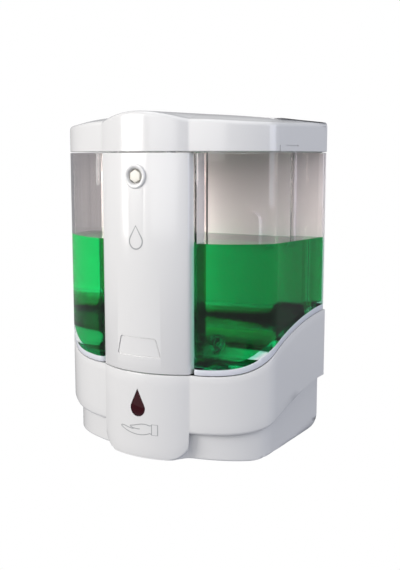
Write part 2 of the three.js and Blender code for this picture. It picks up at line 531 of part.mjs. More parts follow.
// The opening in the cover's underside, which the base tray closes.
function underside(gap) {
  const inset = SKIRT_INSET + WALL + gap;
  const side = SKIRT_SIDE - SKIRT_ROUND - gap;
  const column = COLUMN_HALF - BULGE_ROUND - gap;
  const top = CASE_BOTTOM + 2 * WALL;
  return join(
    common(planPrism(polygon(insetLoop(skirtLoop(-CORNER.y), inset)), -FAR, top),
      block(-side, side, -FAR, FAR, -FAR, 0)),
    common(planPrism(polygon(insetLoop(columnLoop(innerColumnY), WALL + gap)), -FAR, top),
      block(-column, column, -FAR, FAR, -FAR, 0)));
}
function lowerCover() {
  const shell = (depth) => {
    const past = depth ? -CORNER.y : 0; // the hollow runs out through the back
    const upper = common(planPrism(polygon(insetLoop(caseLoop(CASE_BACK_Y + past), depth)), -FAR, 0),
      aboveEdge(raised(ledgeEdge, depth)));
    const skirt = common(
      planPrism(polygon(
        insetLoop(skirtLoop(CASE_BACK_Y + SKIRT_INSET + past), SKIRT_INSET + depth)), -FAR, 0),
      skirtFront(SKIRT_SIDE - depth, SKIRT_ROUND - depth, CASE_BOTTOM + depth));
    const bulge = common(
      planPrism(polygon(
        insetLoop(columnLoop(depth ? innerColumnY : COLUMN_EDGE_Y + SKIRT_INSET), depth)), -FAR, 0),
      skirtFront(COLUMN_HALF - depth, BULGE_ROUND - depth, BULGE_BOTTOM + depth));
    return join(upper, skirt, bulge);
  };
  const walls = cut(common(shell(0), belowEdge(raised(deckEdge, LAP - SEAM))), shell(WALL), underside(0));
  const bossBack = PANEL_FRONT_Y - FIT;
  const bosses = coverScrews.map(({ x, z }) => {
    const side = Math.sign(x);
    const raw = block(x - side * BOSS.half, side * HALF_WIDTH, bossBack, bossBack - BOSS.depth,
      z - BOSS.half, z + BOSS.half);
    const hole = stub(x, z, 0, -SCREW.length - 2 * LOOSE - WALL, SCREW.shank + FIT, 16);
    return cut(common(raw, shell(WALL / 5)), hole);
  });
  return cut(join(walls, ...bosses), frontPrism(teardrop(FIT), COLUMN_EDGE_Y, -FAR));
}
function teardrop(out) {
  const r = LENS.radius + out;
  const apex = LENS.tip + 2 * out - LENS.z;
  const start = Math.asin(r / apex);
  const shape = new THREE.Shape();
  shape.moveTo(0, LENS.z + apex);
  shape.lineTo(-r * Math.cos(start), LENS.z + r * Math.sin(start));
  shape.absarc(0, LENS.z, r, Math.PI - start, 2 * Math.PI + start);
  return shape;
}
part('lower_cover', lowerCover(), WHITE);
part('indicator_lens', common(
  frontPrism(teardrop(0), columnFront + LENS.depth, -FAR),
  planPrism(polygon(insetLoop(columnLoop(0), LENS.recess)), -FAR, 0)), RED);

const cellXs = [-1.5, -0.5, 0.5, 1.5].map((i) => i * CELL_PITCH);
const boxHalf = 1.5 * CELL_PITCH + CELL_RADIUS + BOX.endGap;
const pivot = { y: cellY + CELL_RADIUS, z: CASE_BOTTOM + DOOR.thick };
function baseTray() {
  const plateBack = POCKET_FRONT_Y - 1;
  const room = SWITCH.depthHalf + LOOSE;
  return cut(
    common(underside(FIT), block(-FAR, FAR, -FAR, plateBack, TRAY.bottom, TRAY.top)),
    block(-boxHalf, boxHalf, boxFrontY - LOOSE, pivot.y + DOOR.thick + LOOSE, -FAR, 0),
    bar(pivot.y, pivot.z, -boxHalf - DOOR.pinOut - LOOSE, boxHalf + DOOR.pinOut + LOOSE, DOOR.pin + FIT, 12),
    post(0, NOZZLE.y, -FAR, 0, NOZZLE.radius + FIT),
    block(-WINDOW.half - FIT, WINDOW.half + FIT,
      EYE.y - WINDOW.depthHalf - FIT, EYE.y + WINDOW.depthHalf + FIT, -FAR, 0),
    block(SWITCH.x - SWITCH.half - 1, SWITCH.x + SWITCH.travel + SWITCH.half + 1,
      SWITCH.y - room, SWITCH.y + room, -FAR, 0));
}
part('base_tray', baseTray(), WHITE);
const onTray = TRAY.top + FIT;
part('ir_window', join(
  block(-WINDOW.half, WINDOW.half,
    EYE.y - WINDOW.depthHalf, EYE.y + WINDOW.depthHalf, TRAY.bottom, onTray + LAP),
  block(-WINDOW.flangeHalf, WINDOW.flangeHalf,
    EYE.y - WINDOW.flangeDepthHalf, EYE.y + WINDOW.flangeDepthHalf, onTray, TRAY.top + WINDOW.top)), RED);

// ---------------------------------------------------------------- batteries
const boxBottom = TRAY.top + LOOSE;
const cellTop = CELL.bottom + CELL.height;
const nubTop = cellTop + CELL.nubHeight;
const boxTop = nubTop + BOX.springRoom;
part('battery_box', cut(
  block(-boxHalf - BOX.wall, boxHalf + BOX.wall, boxFrontY - BOX.wall, boxBackY + BOX.backWall,
    boxBottom, boxTop + BOX.wall),
  block(-boxHalf, boxHalf, boxFrontY, boxBackY, boxBottom - 1, boxTop)), BLACK);
cellXs.forEach((x, i) => part(`battery_${i + 1}`, join(
  post(x, cellY, CELL.bottom, cellTop, CELL_RADIUS, 28),
  post(x, cellY, cellTop - LAP, nubTop, CELL.nub, 12)), BRASS));
function coil(x) {
  const base = nubTop + COIL.wire + FIT;
  const height = boxTop - FIT - COIL.wire - base;
  class Helix extends THREE.Curve {
    getPoint(t) {
      const angle = t * COIL.turns * 2 * Math.PI;
      const radius = COIL.radius * (1 + t);
      return new THREE.Vector3(
        x + radius * Math.cos(angle), cellY + radius * Math.sin(angle), base + height * t);
    }
  }
  const section = new THREE.Shape().absarc(0, 0, COIL.wire, 0, 2 * Math.PI);
  return solid(new THREE.ExtrudeGeometry(section, {
    steps: COIL.steps, extrudePath: new Helix(), bevelEnabled: false, curveSegments: 3,
  }));
}
cellXs.forEach((x, i) => part(`contact_spring_${i + 1}`, coil(x), STEEL));

function batteryDoor() {
  const half = boxHalf - LOOSE;
  const pads = [-1, 1].map((s) => block(
    s * CELL_PITCH - DOOR.padHalf, s * CELL_PITCH + DOOR.padHalf,
    pivot.y - DOOR.padBack, boxFrontY + DOOR.padFront, pivot.z - CONTACT.edge, CELL.bottom - DOOR.padGap));
  return join(
    block(-half, half, pivot.y, boxFrontY, CASE_BOTTOM, pivot.z),
    bar(pivot.y, pivot.z, -half, half, DOOR.thick, 16),
    bar(pivot.y, pivot.z, -half - DOOR.pinOut, half + DOOR.pinOut, DOOR.pin, 12), ...pads);
}
part('battery_door', batteryDoor(), WHITE);
const contactHalf = DOOR.padHalf - CONTACT.in;
for (const [name, side] of [['door_contact_left', -1], ['door_contact_right', 1]]) {
  part(name, block(side * CELL_PITCH - contactHalf, side * CELL_PITCH + contactHalf,
    pivot.y - DOOR.padBack - CONTACT.edge, boxFrontY + DOOR.padFront + CONTACT.edge,
    CELL.bottom - CONTACT.bottom, CELL.bottom - CONTACT.top), STEEL);
}

// ---------------------------------------------------------------- pump, motor and hoses
const gearBottom = PUMP.bottom + PUMP.floor + FIT;
function gear(y, phase, bore) {
  const step = (2 * Math.PI) / GEAR.teeth;
  const flanks = [[GEAR.root, -TOOTH.rootShare], [GEAR.tip, -TOOTH.tipShare],
    [GEAR.tip, TOOTH.tipShare], [GEAR.root, TOOTH.rootShare]];
  const outline = Array.from({ length: GEAR.teeth }, (_, i) => flanks.map(([radius, share]) => {
    const angle = phase + (i + share) * step;
    return point(PUMP.x + radius * Math.cos(angle), y + radius * Math.sin(angle));
  })).flat();
  return cut(
    planPrism(polygon(outline), gearBottom, gearBottom + GEAR.thick), post(PUMP.x, y, -FAR, 0, bore, 16));
}
const driveY = pumpY + PITCH_RADIUS;
const idlerY = pumpY - PITCH_RADIUS;
const shaftRoom = post(PUMP.x, driveY, -FAR, 0, SHAFT + FIT, 12);
part('drive_gear', gear(driveY, -Math.PI / 2, SHAFT + FIT), NATURAL);
part('idler_gear', gear(idlerY, Math.PI / 2 + Math.PI / GEAR.teeth, IDLER_PIN + FIT), NATURAL);
const cavityFloor = PUMP.bottom + PUMP.floor;
const cavityRadius = GEAR.tip + GEAR.tipGap;
const pumpCavity = join(
  post(PUMP.x, driveY, cavityFloor, 0, cavityRadius, 28),
  post(PUMP.x, idlerY, cavityFloor, 0, cavityRadius, 28),
  block(PUMP.x - PORT.chamberLeft, INLET.x + PORT.chamberRight,
    pumpY - PORT.chamberHalf, pumpY + PORT.chamberHalf, cavityFloor, 0));
const portZ = (PUMP.bottom + PUMP.top) / 2;
const pumpLeft = PUMP.x - PUMP_SIDE.left;
const portEnd = pumpLeft - PORT.length;
const pumpBlock = (z0, z1) =>
  block(pumpLeft, PUMP.x + PUMP_SIDE.right, pumpY - PUMP_HALF, pumpY + PUMP_HALF, z0, z1);
part('pump_body', cut(
  join(pumpBlock(PUMP.bottom, PUMP.top), bar(pumpY, portZ, portEnd, PUMP.x, OUTLET.radius)),
  pumpCavity, bar(pumpY, portZ, portEnd - 1, PUMP.x - PORT.length, OUTLET.bore, 12), shaftRoom), NATURAL);
const coverBottom = PUMP.top + FIT;
const coverTop = coverBottom + PUMP.cover;
part('pump_cover', cut(
  join(pumpBlock(coverBottom, coverTop),
    post(INLET.x, pumpY, coverBottom, INLET.spigotTop, OUTLET.radius, 16)),
  post(INLET.x, pumpY, -FAR, 0, OUTLET.bore, 12)), NATURAL);
part('idler_pin', post(PUMP.x, idlerY, gearBottom, PUMP.top - FIT, IDLER_PIN, 14), STEEL);
const motorTop = PUMP.bottom - MOTOR.gap;
const motorBottom = motorTop - MOTOR.length;
part('motor', cut(
  common(post(PUMP.x, driveY, motorBottom, motorTop, MOTOR.radius, 24),
    block(PUMP.x - MOTOR.flat / 2, PUMP.x + MOTOR.flat / 2, -FAR, FAR, -FAR, 0)),
  post(PUMP.x, driveY, motorBottom + MOTOR.floor, 0, SHAFT + FIT, 12)), STEEL);
part('motor_shaft', post(
  PUMP.x, driveY, motorBottom + MOTOR.shaftFloor, PUMP.top - MOTOR.shaftTopGap, SHAFT, 14), STEEL);

const hoseBore = OUTLET.radius + HOSE.slack;
function hose(legs) {
  const path = new THREE.CurvePath();
  legs.forEach((leg) => path.add(leg));
  const section = new THREE.Shape().absarc(0, 0, hoseBore + HOSE.wall, 0, 2 * Math.PI);
  section.holes.push(new THREE.Path().absarc(0, 0, hoseBore, 0, 2 * Math.PI));
  return solid(new THREE.ExtrudeGeometry(section, {
    steps: HOSE.steps, extrudePath: path, bevelEnabled: false, curveSegments: 5,
  }));
}
const at = (x, y, z) => new THREE.Vector3(x, y, z);
part('inlet_hose', hose([
  new THREE.LineCurve3(
    at(OUTLET.x, outletY, OUTLET.bottom + HOSE.overlap), at(OUTLET.x, outletY, OUTLET.bottom)),
  new THREE.CubicBezierCurve3(
    at(OUTLET.x, outletY, OUTLET.bottom), at(OUTLET.x, outletY, OUTLET.bottom - HOSE.bend),
    at(INLET.x, pumpY, INLET.spigotTop + HOSE.bend), at(INLET.x, pumpY, INLET.spigotTop)),
  new THREE.LineCurve3(at(INLET.x, pumpY, INLET.spigotTop), at(INLET.x, pumpY, coverTop + FIT)),
]), SILICONE);
const nozzleTop = TRAY.top + NOZZLE.height;
const hoseStart = portEnd - 1;
part('outlet_hose', hose([
  new THREE.LineCurve3(at(pumpLeft - HOSE.stub, pumpY, portZ), at(hoseStart, pumpY, portZ)),
  new THREE.CubicBezierCurve3(at(hoseStart, pumpY, portZ), at(HOSE.bend / 2, pumpY, portZ),
    at(0, NOZZLE.y, portZ + HOSE.bend / 2), at(0, NOZZLE.y, nozzleTop + 1)),
  new THREE.LineCurve3(at(0, NOZZLE.y, nozzleTop + 1), at(0, NOZZLE.y, nozzleTop - HOSE.overlap)),
]), SILICONE);
const nozzleInner = NOZZLE.radius - NOZZLE.skirtWall;
part('nozzle', cut(
  join(post(0, NOZZLE.y, TRAY.bottom, onTray + LAP, NOZZLE.radius),
    post(0, NOZZLE.y, onTray, onTray + NOZZLE.flangeThick, NOZZLE.flange),
    post(0, NOZZLE.y, onTray + NOZZLE.flangeThick - LAP, nozzleTop, OUTLET.radius, 16)),
  post(0, NOZZLE.y, -FAR, 0, NOZZLE.bore, 12), post(0, NOZZLE.y, -FAR, onTray, nozzleInner, 16)), WHITE);
part('nozzle_valve', cut(
  post(0, NOZZLE.y, TRAY.bottom + VALVE.recess, onTray - FIT, VALVE.bottom, 16, nozzleInner - FIT),
  post(0, NOZZLE.y, -FAR, 0, VALVE.bore, 10)), SILICONE);

// ---------------------------------------------------------------- electronics
const boardBack = BOARD.y;
const boardFront = BOARD.y - BOARD.thick;
const boardScrews = [-1, 1].map((side) => ({ x: side * BOARD.screwX, z: BOARD.top - BOARD.screwDrop }));
part('circuit_board', cut(
  block(-BOARD.half, BOARD.half, boardBack, boardFront, BOARD.bottom, BOARD.top),
  ...boardScrews.map(({ x, z }) => drilled(x, z, SCREW.shank + FIT, 14))), BOARD_GREEN);
boardScrews.forEach(({ x, z }, i) => part(`board_screw_${i + 1}`, join(
  stub(x, z, boardBack + FIT + SCREW.headHeight, boardBack + FIT, SCREW.head, 14),
  stub(x, z, boardBack + FIT + LAP, boardFront - BOARD.screwOut, SCREW.shank, 14)), STEEL));
part('indicator_led', join(
  stub(0, LENS.z, boardFront - FIT, boardFront - LED.base, LED.radius, 16),
  stub(0, LENS.z, boardFront - LED.base + LAP, boardFront - LED.length, LED.radius, 16, LED.tip)), RED);
for (const [name, side] of [['ir_emitter', -1], ['ir_receiver', 1]]) {
  part(name, join(
    post(side * EYE.x, EYE.y, TRAY.top + EYE.bottom, TRAY.top + EYE.shoulder, EYE.nose, 16, EYE.radius),
    post(side * EYE.x, EYE.y, TRAY.top + EYE.shoulder - LAP, TRAY.top + EYE.top, EYE.radius, 16)), BLACK);
}
const slotHalf = SWITCH.half + LOOSE;
part('power_switch', cut(
  block(SWITCH.x - SWITCH.bodyEnd, SWITCH.x + SWITCH.travel + SWITCH.bodyEnd,
    SWITCH.y - SWITCH.bodyHalf, SWITCH.y + SWITCH.bodyHalf, onTray, TRAY.top + SWITCH.bodyTop),
  block(SWITCH.x - slotHalf, SWITCH.x + SWITCH.travel + slotHalf,
    SWITCH.y - SWITCH.depthHalf - LOOSE, SWITCH.y + SWITCH.depthHalf + LOOSE,
    TRAY.top, TRAY.top + SLIDER.roomTop)), BLACK);
part('switch_slider', block(SWITCH.x - SWITCH.half, SWITCH.x + SWITCH.half, SWITCH.y - SWITCH.depthHalf,
  SWITCH.y + SWITCH.depthHalf, TRAY.bottom + SLIDER.recess, TRAY.top + SLIDER.top), BLACK);

export default model;
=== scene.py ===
"""Looks of the automatic wall soap dispenser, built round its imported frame. All places are in metres."""
import math

import bmesh
import bpy
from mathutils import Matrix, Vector
from mathutils.geometry import interpolate_bezier


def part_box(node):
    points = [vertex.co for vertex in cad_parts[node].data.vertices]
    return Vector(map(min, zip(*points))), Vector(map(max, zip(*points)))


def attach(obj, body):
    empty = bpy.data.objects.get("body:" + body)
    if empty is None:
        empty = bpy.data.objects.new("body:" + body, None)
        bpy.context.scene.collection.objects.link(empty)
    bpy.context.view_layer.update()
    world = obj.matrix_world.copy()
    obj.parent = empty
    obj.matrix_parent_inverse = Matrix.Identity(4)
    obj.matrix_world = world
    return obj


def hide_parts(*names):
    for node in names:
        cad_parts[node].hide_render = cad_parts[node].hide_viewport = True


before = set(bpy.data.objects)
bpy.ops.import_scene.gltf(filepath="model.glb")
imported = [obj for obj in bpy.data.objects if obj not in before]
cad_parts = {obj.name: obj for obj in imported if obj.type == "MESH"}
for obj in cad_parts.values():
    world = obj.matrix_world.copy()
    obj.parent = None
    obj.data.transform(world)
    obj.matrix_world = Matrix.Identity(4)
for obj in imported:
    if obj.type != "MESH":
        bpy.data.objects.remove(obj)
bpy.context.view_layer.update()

bl_info = {
    "name": "Wall Soap Dispenser",
    "version": (1, 0, 0),
    "blender": (4, 5, 0),
    "location": "View3D > Sidebar > Dispenser",
    "description": "Builds the fine covers, reservoir, lock and finishes of a wall soap dispenser",
    "category": "Object",
}

MM = 0.001
LID_LOW, LID_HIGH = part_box("lid")
COLUMN_LOW, COLUMN_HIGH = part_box("column_cover")
TANK_LOW, TANK_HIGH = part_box("reservoir")
COVER_LOW, COVER_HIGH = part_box("lower_cover")
SOAP_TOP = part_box("soap")[1].z
LENS_LOW, LENS_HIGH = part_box("indicator_lens")
BEZEL_LOW, BEZEL_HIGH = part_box("lock_bezel")
LOCK_Z = (BEZEL_LOW.z + BEZEL_HIGH.z) / 2
STRIKER_LOW, STRIKER_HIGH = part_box("lid_striker")
PIN_LOW, PIN_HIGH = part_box("hinge_pin_left")
HINGE_X = abs(PIN_LOW.x + PIN_HIGH.x) / 2
HINGE_Y = (PIN_LOW.y + PIN_HIGH.y) / 2
HINGE_Z = (PIN_LOW.z + PIN_HIGH.z) / 2
LID_SEAM = LID_LOW.z
SKIRT_BOTTOM = COVER_LOW.z

# Points along the outlines
ARC_STEPS = 18
CORNER_STEPS = 9
CREASE_STEPS = 6
SIDE_STEPS = 8


# ---------------------------------------------------------------- settings
def linear(code):
    """Turns an sRGB hex colour into linear red, green and blue."""
    parts = [int(code[i:i + 2], 16) / 255 for i in (1, 3, 5)]
    return tuple(c / 12.92 if c <= 0.04045 else ((c + 0.055) / 1.055) ** 2.4 for c in parts)


def length(name, description, millimetres):
    return bpy.props.FloatProperty(
        name=name, description=description, default=millimetres * MM, subtype="DISTANCE", unit="LENGTH")


def colour(name, description, code):
    return bpy.props.FloatVectorProperty(
        name=name, description=description, default=linear(code), size=3, min=0, max=1, subtype="COLOR")


class DispenserSizes(bpy.types.PropertyGroup):
    """Sizes of the moulded pieces."""
    half_width: length("Half width", "Half the case's width at the wall", 88.98)
    corner_x: length("Corner across", "Where front face and side meet, from the middle", 81.4)
    corner_y: length("Corner forward", "Where front face and side meet, from the wall", -67.5)
    corner_cut: length("Corner rounding", "Length the corner's rounding takes from each side", 4.5)
    skirt_cut: length("Skirt corner rounding", "The same on the skirt", 8)
    column_y: length("Column edge", "The column's edges, from the wall", -93.1)
    face_bow: length("Face bow", "Control offset of the bowed front faces", 8.1)
    crease: length("Crease", "Softness of the crease beside the column", 1.1)
    wall: length("Wall", "Thickness of the moulded covers", 2.5)
    rim: length("Lid rim", "Radius of the lid's top edge", 3.2)
    ledge_round: length("Ledge radius", "Radius of the lower cover's ledge", 2.4)
    skirt_inset: length("Skirt inset", "How far the skirt stands back under the ledge", 5)
    skirt_round: length("Skirt rounding", "Radius of the skirt's side bottoms", 17)
    tank_wall: length("Reservoir wall", "Thickness of the reservoir's walls", 2.3)
    column_half: bpy.props.FloatProperty(
        name="Column half width", description="Half the column's width",
        default=COLUMN_HIGH.x, subtype="DISTANCE", unit="LENGTH")
    column_front: bpy.props.FloatProperty(
        name="Column front", description="The column's front, from the wall",
        default=COLUMN_LOW.y, subtype="DISTANCE", unit="LENGTH")


class DispenserColours(bpy.types.PropertyGroup):
    """Colours of the finishes."""
    white: colour("White ABS", "The moulded covers", "#DBDBDB")
    grey: colour("Grey ABS", "The deck strip", "#D3D6DE")
    clear: colour("Clear", "Tint of the clear reservoir", "#FFFBFA")
    soap: colour("Soap", "Tint of the liquid soap", "#10C470")
    lens: colour("Lens", "Tint of the indicator lens", "#420710")
    steel: colour("Steel", "Zinc-plated steel", "#B9BEC3")
    acetal: colour("Acetal", "Natural gears and spindle", "#E9E6DC")
    ink: colour("Ink", "Printed symbols", "#9A9C9E")
    floor: colour("Floor", "The pale floor", "#FFFFFF")


# ---------------------------------------------------------------- plan outlines
def bezier(points, steps):
    """Points on a cubic curve given by four plan or side-view points."""
    a, b, c, d = (Vector((p[0], p[1], 0)) for p in points)
    return [(p.x, p.y) for p in interpolate_bezier(a, b, c, d, steps)]


def bend(start, corner, end, steps):
    """A quadratic rounding through a corner."""
    s, c, e = (Vector(p) for p in (start, corner, end))
    return bezier((s, s.lerp(c, 2 / 3), e.lerp(c, 2 / 3), e), steps)


def toward(a, b, distance):
    return Vector(a) + (Vector(b) - Vector(a)).normalized() * distance


def column_arc(sizes, x):
    """The column's front at a place across it."""
    half, depth = sizes.column_half, sizes.column_y - sizes.column_front
    radius = (half ** 2 + depth ** 2) / (2 * depth)
    return sizes.column_front + radius - math.sqrt(radius ** 2 - min(abs(x), half) ** 2)


def half_plan(sizes, back, cut, with_column=True):
    """The right half of the case's plan, from the middle of the front to the back."""
    edge = Vector((sizes.column_half, sizes.column_y))
    corner = Vector((sizes.corner_x, sizes.corner_y))
    side = Vector((sizes.half_width, 0))
    middle = (edge + corner) / 2
    control = middle + Vector((corner.y - edge.y, edge.x - corner.x)).normalized() * sizes.face_bow
    face_end, side_start = toward(corner, control, cut), toward(corner, side, cut)
    inner = sizes.column_half - sizes.crease

    def front_at(x):
        return column_arc(sizes, x) if with_column else sizes.column_y

    places = [inner * i / ARC_STEPS for i in range(ARC_STEPS)]
    front = [(x, front_at(x)) for x in places]
    crease = bend((inner, front_at(inner)), edge, toward(edge, control, sizes.crease), CREASE_STEPS)
    face = bend(crease[-1], control, face_end, ARC_STEPS)[1:]
    turn = bend(face_end, corner, side_start, CORNER_STEPS)[1:]
    at_back = side.lerp(corner, back / sizes.corner_y)
    run = [tuple(side_start.lerp(at_back, i / SIDE_STEPS)) for i in range(1, SIDE_STEPS + 1)]
    return front + crease + face + turn + run


def rectangle(low_x, low_y, high_x, high_y):
    return [(low_x, low_y), (high_x, low_y), (high_x, high_y), (low_x, high_y)]


def mirrored(points):
    """The outline's other half, from its end back to its start."""
    return [(-x, y) for x, y in reversed(points)]


def normals(points, closed):
    """Outward normals of an anticlockwise outline."""
    count = len(points)
    found = []
    for i in range(count):
        a = Vector(points[i - 1] if closed or i else points[0])
        b = Vector(points[(i + 1) % count] if closed or i < count - 1 else points[i])
        along = (b - a).normalized()
        found.append(Vector((along.y, -along.x)))
    return found


def moved_in(points, closed, distance):
    """The outline moved inwards by one distance, or by one for each point."""
    outward = normals(points, closed)
    reach = distance if isinstance(distance, list) else [distance] * len(points)
    return [tuple(Vector(p) - n * d) for p, n, d in zip(points, outward, reach)]


# ---------------------------------------------------------------- side-view edges
EDGE_FRONT = -93.1 * MM
EDGE_FLAT = 11 * MM
EDGE_BACK_DIP = 2 * MM
EDGE_STEPS = 24


def side_edge(front_z, knee, back_z, lead):
    """A side-view edge as a function of y: flat at the front, then an S through the knee to the back."""
    y, z = knee
    along, up = lead
    front_part = ((EDGE_FRONT, front_z), (y - EDGE_FLAT, front_z), (y - along, z - up), knee)
    back_part = (knee, (y + along, z + up), (y / 2, back_z - EDGE_BACK_DIP), (0, back_z))
    points = bezier(front_part, EDGE_STEPS) + bezier(back_part, EDGE_STEPS)[1:]

    def at(y):
        if y <= points[0][0]:
            return points[0][1]
        for (y0, z0), (y1, z1) in zip(points, points[1:]):
            if y <= y1:
                return z0 + (z1 - z0) * (y - y0) / (y1 - y0)
        return points[-1][1]

    return at


deck_edge = side_edge(-55 * MM, (-66.1 * MM, -41.3 * MM), -20 * MM, (6 * MM, 5.2 * MM))
ledge_edge = side_edge(-95 * MM, (-65 * MM, -87.5 * MM), -69.7 * MM, (4 * MM, 1.4 * MM))


def above(edge, distance):
    """The edge raised square to itself."""
    def at(y):
        step = 0.5 * MM
        slope = (edge(y + step) - edge(y - step)) / (2 * step)
        return edge(y) + distance * math.sqrt(1 + slope ** 2)
    return at


def smooth(t):
    """0 before 0, 1 after 1, and an even S between them."""
    t = min(1.0, max(0.0, t))
    return t * t * (3 - 2 * t)


# ---------------------------------------------------------------- mesh making
def new_object(name, bm):
    """Turns mesh-editing data into an object of the scene, with its faces pointing out."""
    bmesh.ops.recalc_face_normals(bm, faces=bm.faces)
    mesh = bpy.data.meshes.new(name)
    bm.to_mesh(mesh)
    bm.free()
    obj = bpy.data.objects.new(name, mesh)
    bpy.context.scene.collection.objects.link(obj)
    return obj


def loft(name, rings, closed, around):
    """Quads between rings. closed joins each ring's ends, and around joins the last ring to the first."""
    bm = bmesh.new()
    rows = [[bm.verts.new(p) for p in ring] for ring in rings]
    count = len(rows[0])
    pairs = list(zip(rows, rows[1:])) + ([(rows[-1], rows[0])] if around else [])
    for low, high in pairs:
        for i in range(count if closed else count - 1):
            j = (i + 1) % count
            bm.faces.new((low[i], low[j], high[j], high[i]))
    if not around:
        bm.faces.new(rows[0])
        bm.faces.new(rows[-1])
    elif not closed:
        bm.faces.new([row[0] for row in rows])
        bm.faces.new([row[-1] for row in rows])
    return new_object(name, bm)


def slab(name, outline, low, high, step=2.5 * MM):
    """A plan outline between a lower and an upper surface that vary from front to back."""
    bm = bmesh.new()
    bm.faces.new([bm.verts.new((x, y, 0)) for x, y in outline])
    y, last = min(p[1] for p in outline) + step, max(p[1] for p in outline)
    while y < last - step / 2:
        everything = bm.verts[:] + bm.edges[:] + bm.faces[:]
        bmesh.ops.bisect_plane(bm, geom=everything, plane_co=(0, y, 0), plane_no=(0, 1, 0))
        y += step
    raised = bmesh.ops.extrude_face_region(bm, geom=bm.faces[:])["geom"]
    upper = {v for v in raised if isinstance(v, bmesh.types.BMVert)}
    for v in bm.verts:
        v.co.z = high(v.co.y) if v in upper else low(v.co.y)
    return new_object(name, bm)


def prism(name, outline, axis, start, end):
    """An outline carried along an axis: X from (y, z), Y from (x, z), Z from (x, y)."""
    place = {
        "X": lambda a, b, c: (c, a, b),
        "Y": lambda a, b, c: (a, c, b),
        "Z": lambda a, b, c: (a, b, c),
    }[axis]
    return loft(name, [[place(a, b, c) for a, b in outline] for c in (start, end)], True, False)


def turned(name, profile, centre, axis, sides=64, closed=False):
    """A profile of (radius, distance along the axis) turned about it, with its ends closed flat."""
    rings = []
    for radius, along in profile:
        ring = []
        for i in range(sides):
            a = 2 * math.pi * i / sides
            u, v = radius * math.cos(a), radius * math.sin(a)
            offset = {"Y": (u, along, v), "Z": (u, v, along), "X": (along, u, v)}[axis]
            ring.append(Vector(centre) + Vector(offset))
        rings.append(ring)
    return loft(name, rings, True, closed)


def apply_modifiers(obj):
    """Puts what the modifiers make in place of the object's mesh."""
    graph = bpy.context.evaluated_depsgraph_get()
    mesh = bpy.data.meshes.new_from_object(obj.evaluated_get(graph))
    obj.modifiers.clear()
    old = obj.data
    obj.data = mesh
    bpy.data.meshes.remove(old)


def combine(obj, others, operation):
    """Cuts or joins other closed meshes, which are then removed."""
    for other in others:
        modifier = obj.modifiers.new(operation, "BOOLEAN")
        modifier.operation = operation
        modifier.solver = "EXACT"
        modifier.object = other
        bpy.context.view_layer.update()
        apply_modifiers(obj)
        bpy.data.objects.remove(other)
    return obj


def rounded(obj, width, segments=2, angle=35):
    """Rounds the edges that are sharper than an angle."""
    modifier = obj.modifiers.new("edge", "BEVEL")
    modifier.width = width
    modifier.segments = segments
    modifier.limit_method = "ANGLE"
    modifier.angle_limit = math.radians(angle)
    bpy.context.view_layer.update()
    apply_modifiers(obj)
    return obj


def piece(obj, material, body, slot, *replaced, angle=32):
    """Gives a finished mesh its material, smooth shading and body, and hides the nodes it stands for; the
    slot is not used.
    """
    obj.data.shade_smooth()
    obj.data.set_sharp_from_angle(angle=math.radians(angle))
    obj.data.materials.clear()
    obj.data.materials.append(material)
    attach(obj, body)
    if replaced:
        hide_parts(*replaced)
    return obj


# ---------------------------------------------------------------- materials
BROAD_SCALE = 22.0  # patches about 45 mm across
MIX_COLOUR_A, MIX_COLOUR_B, MIX_COLOUR_OUT = 6, 7, 2


def put(tree, kind, inputs=None, **settings):
    """Adds a node, with its settings, and fills its inputs from values or other nodes' sockets."""
    node = tree.nodes.new(kind)
    for key, value in settings.items():
        setattr(node, key, value)
    for name, value in (inputs or {}).items():
        if isinstance(value, bpy.types.NodeSocket):
            tree.links.new(value, node.inputs[name])
        else:
            node.inputs[name].default_value = value
    return node


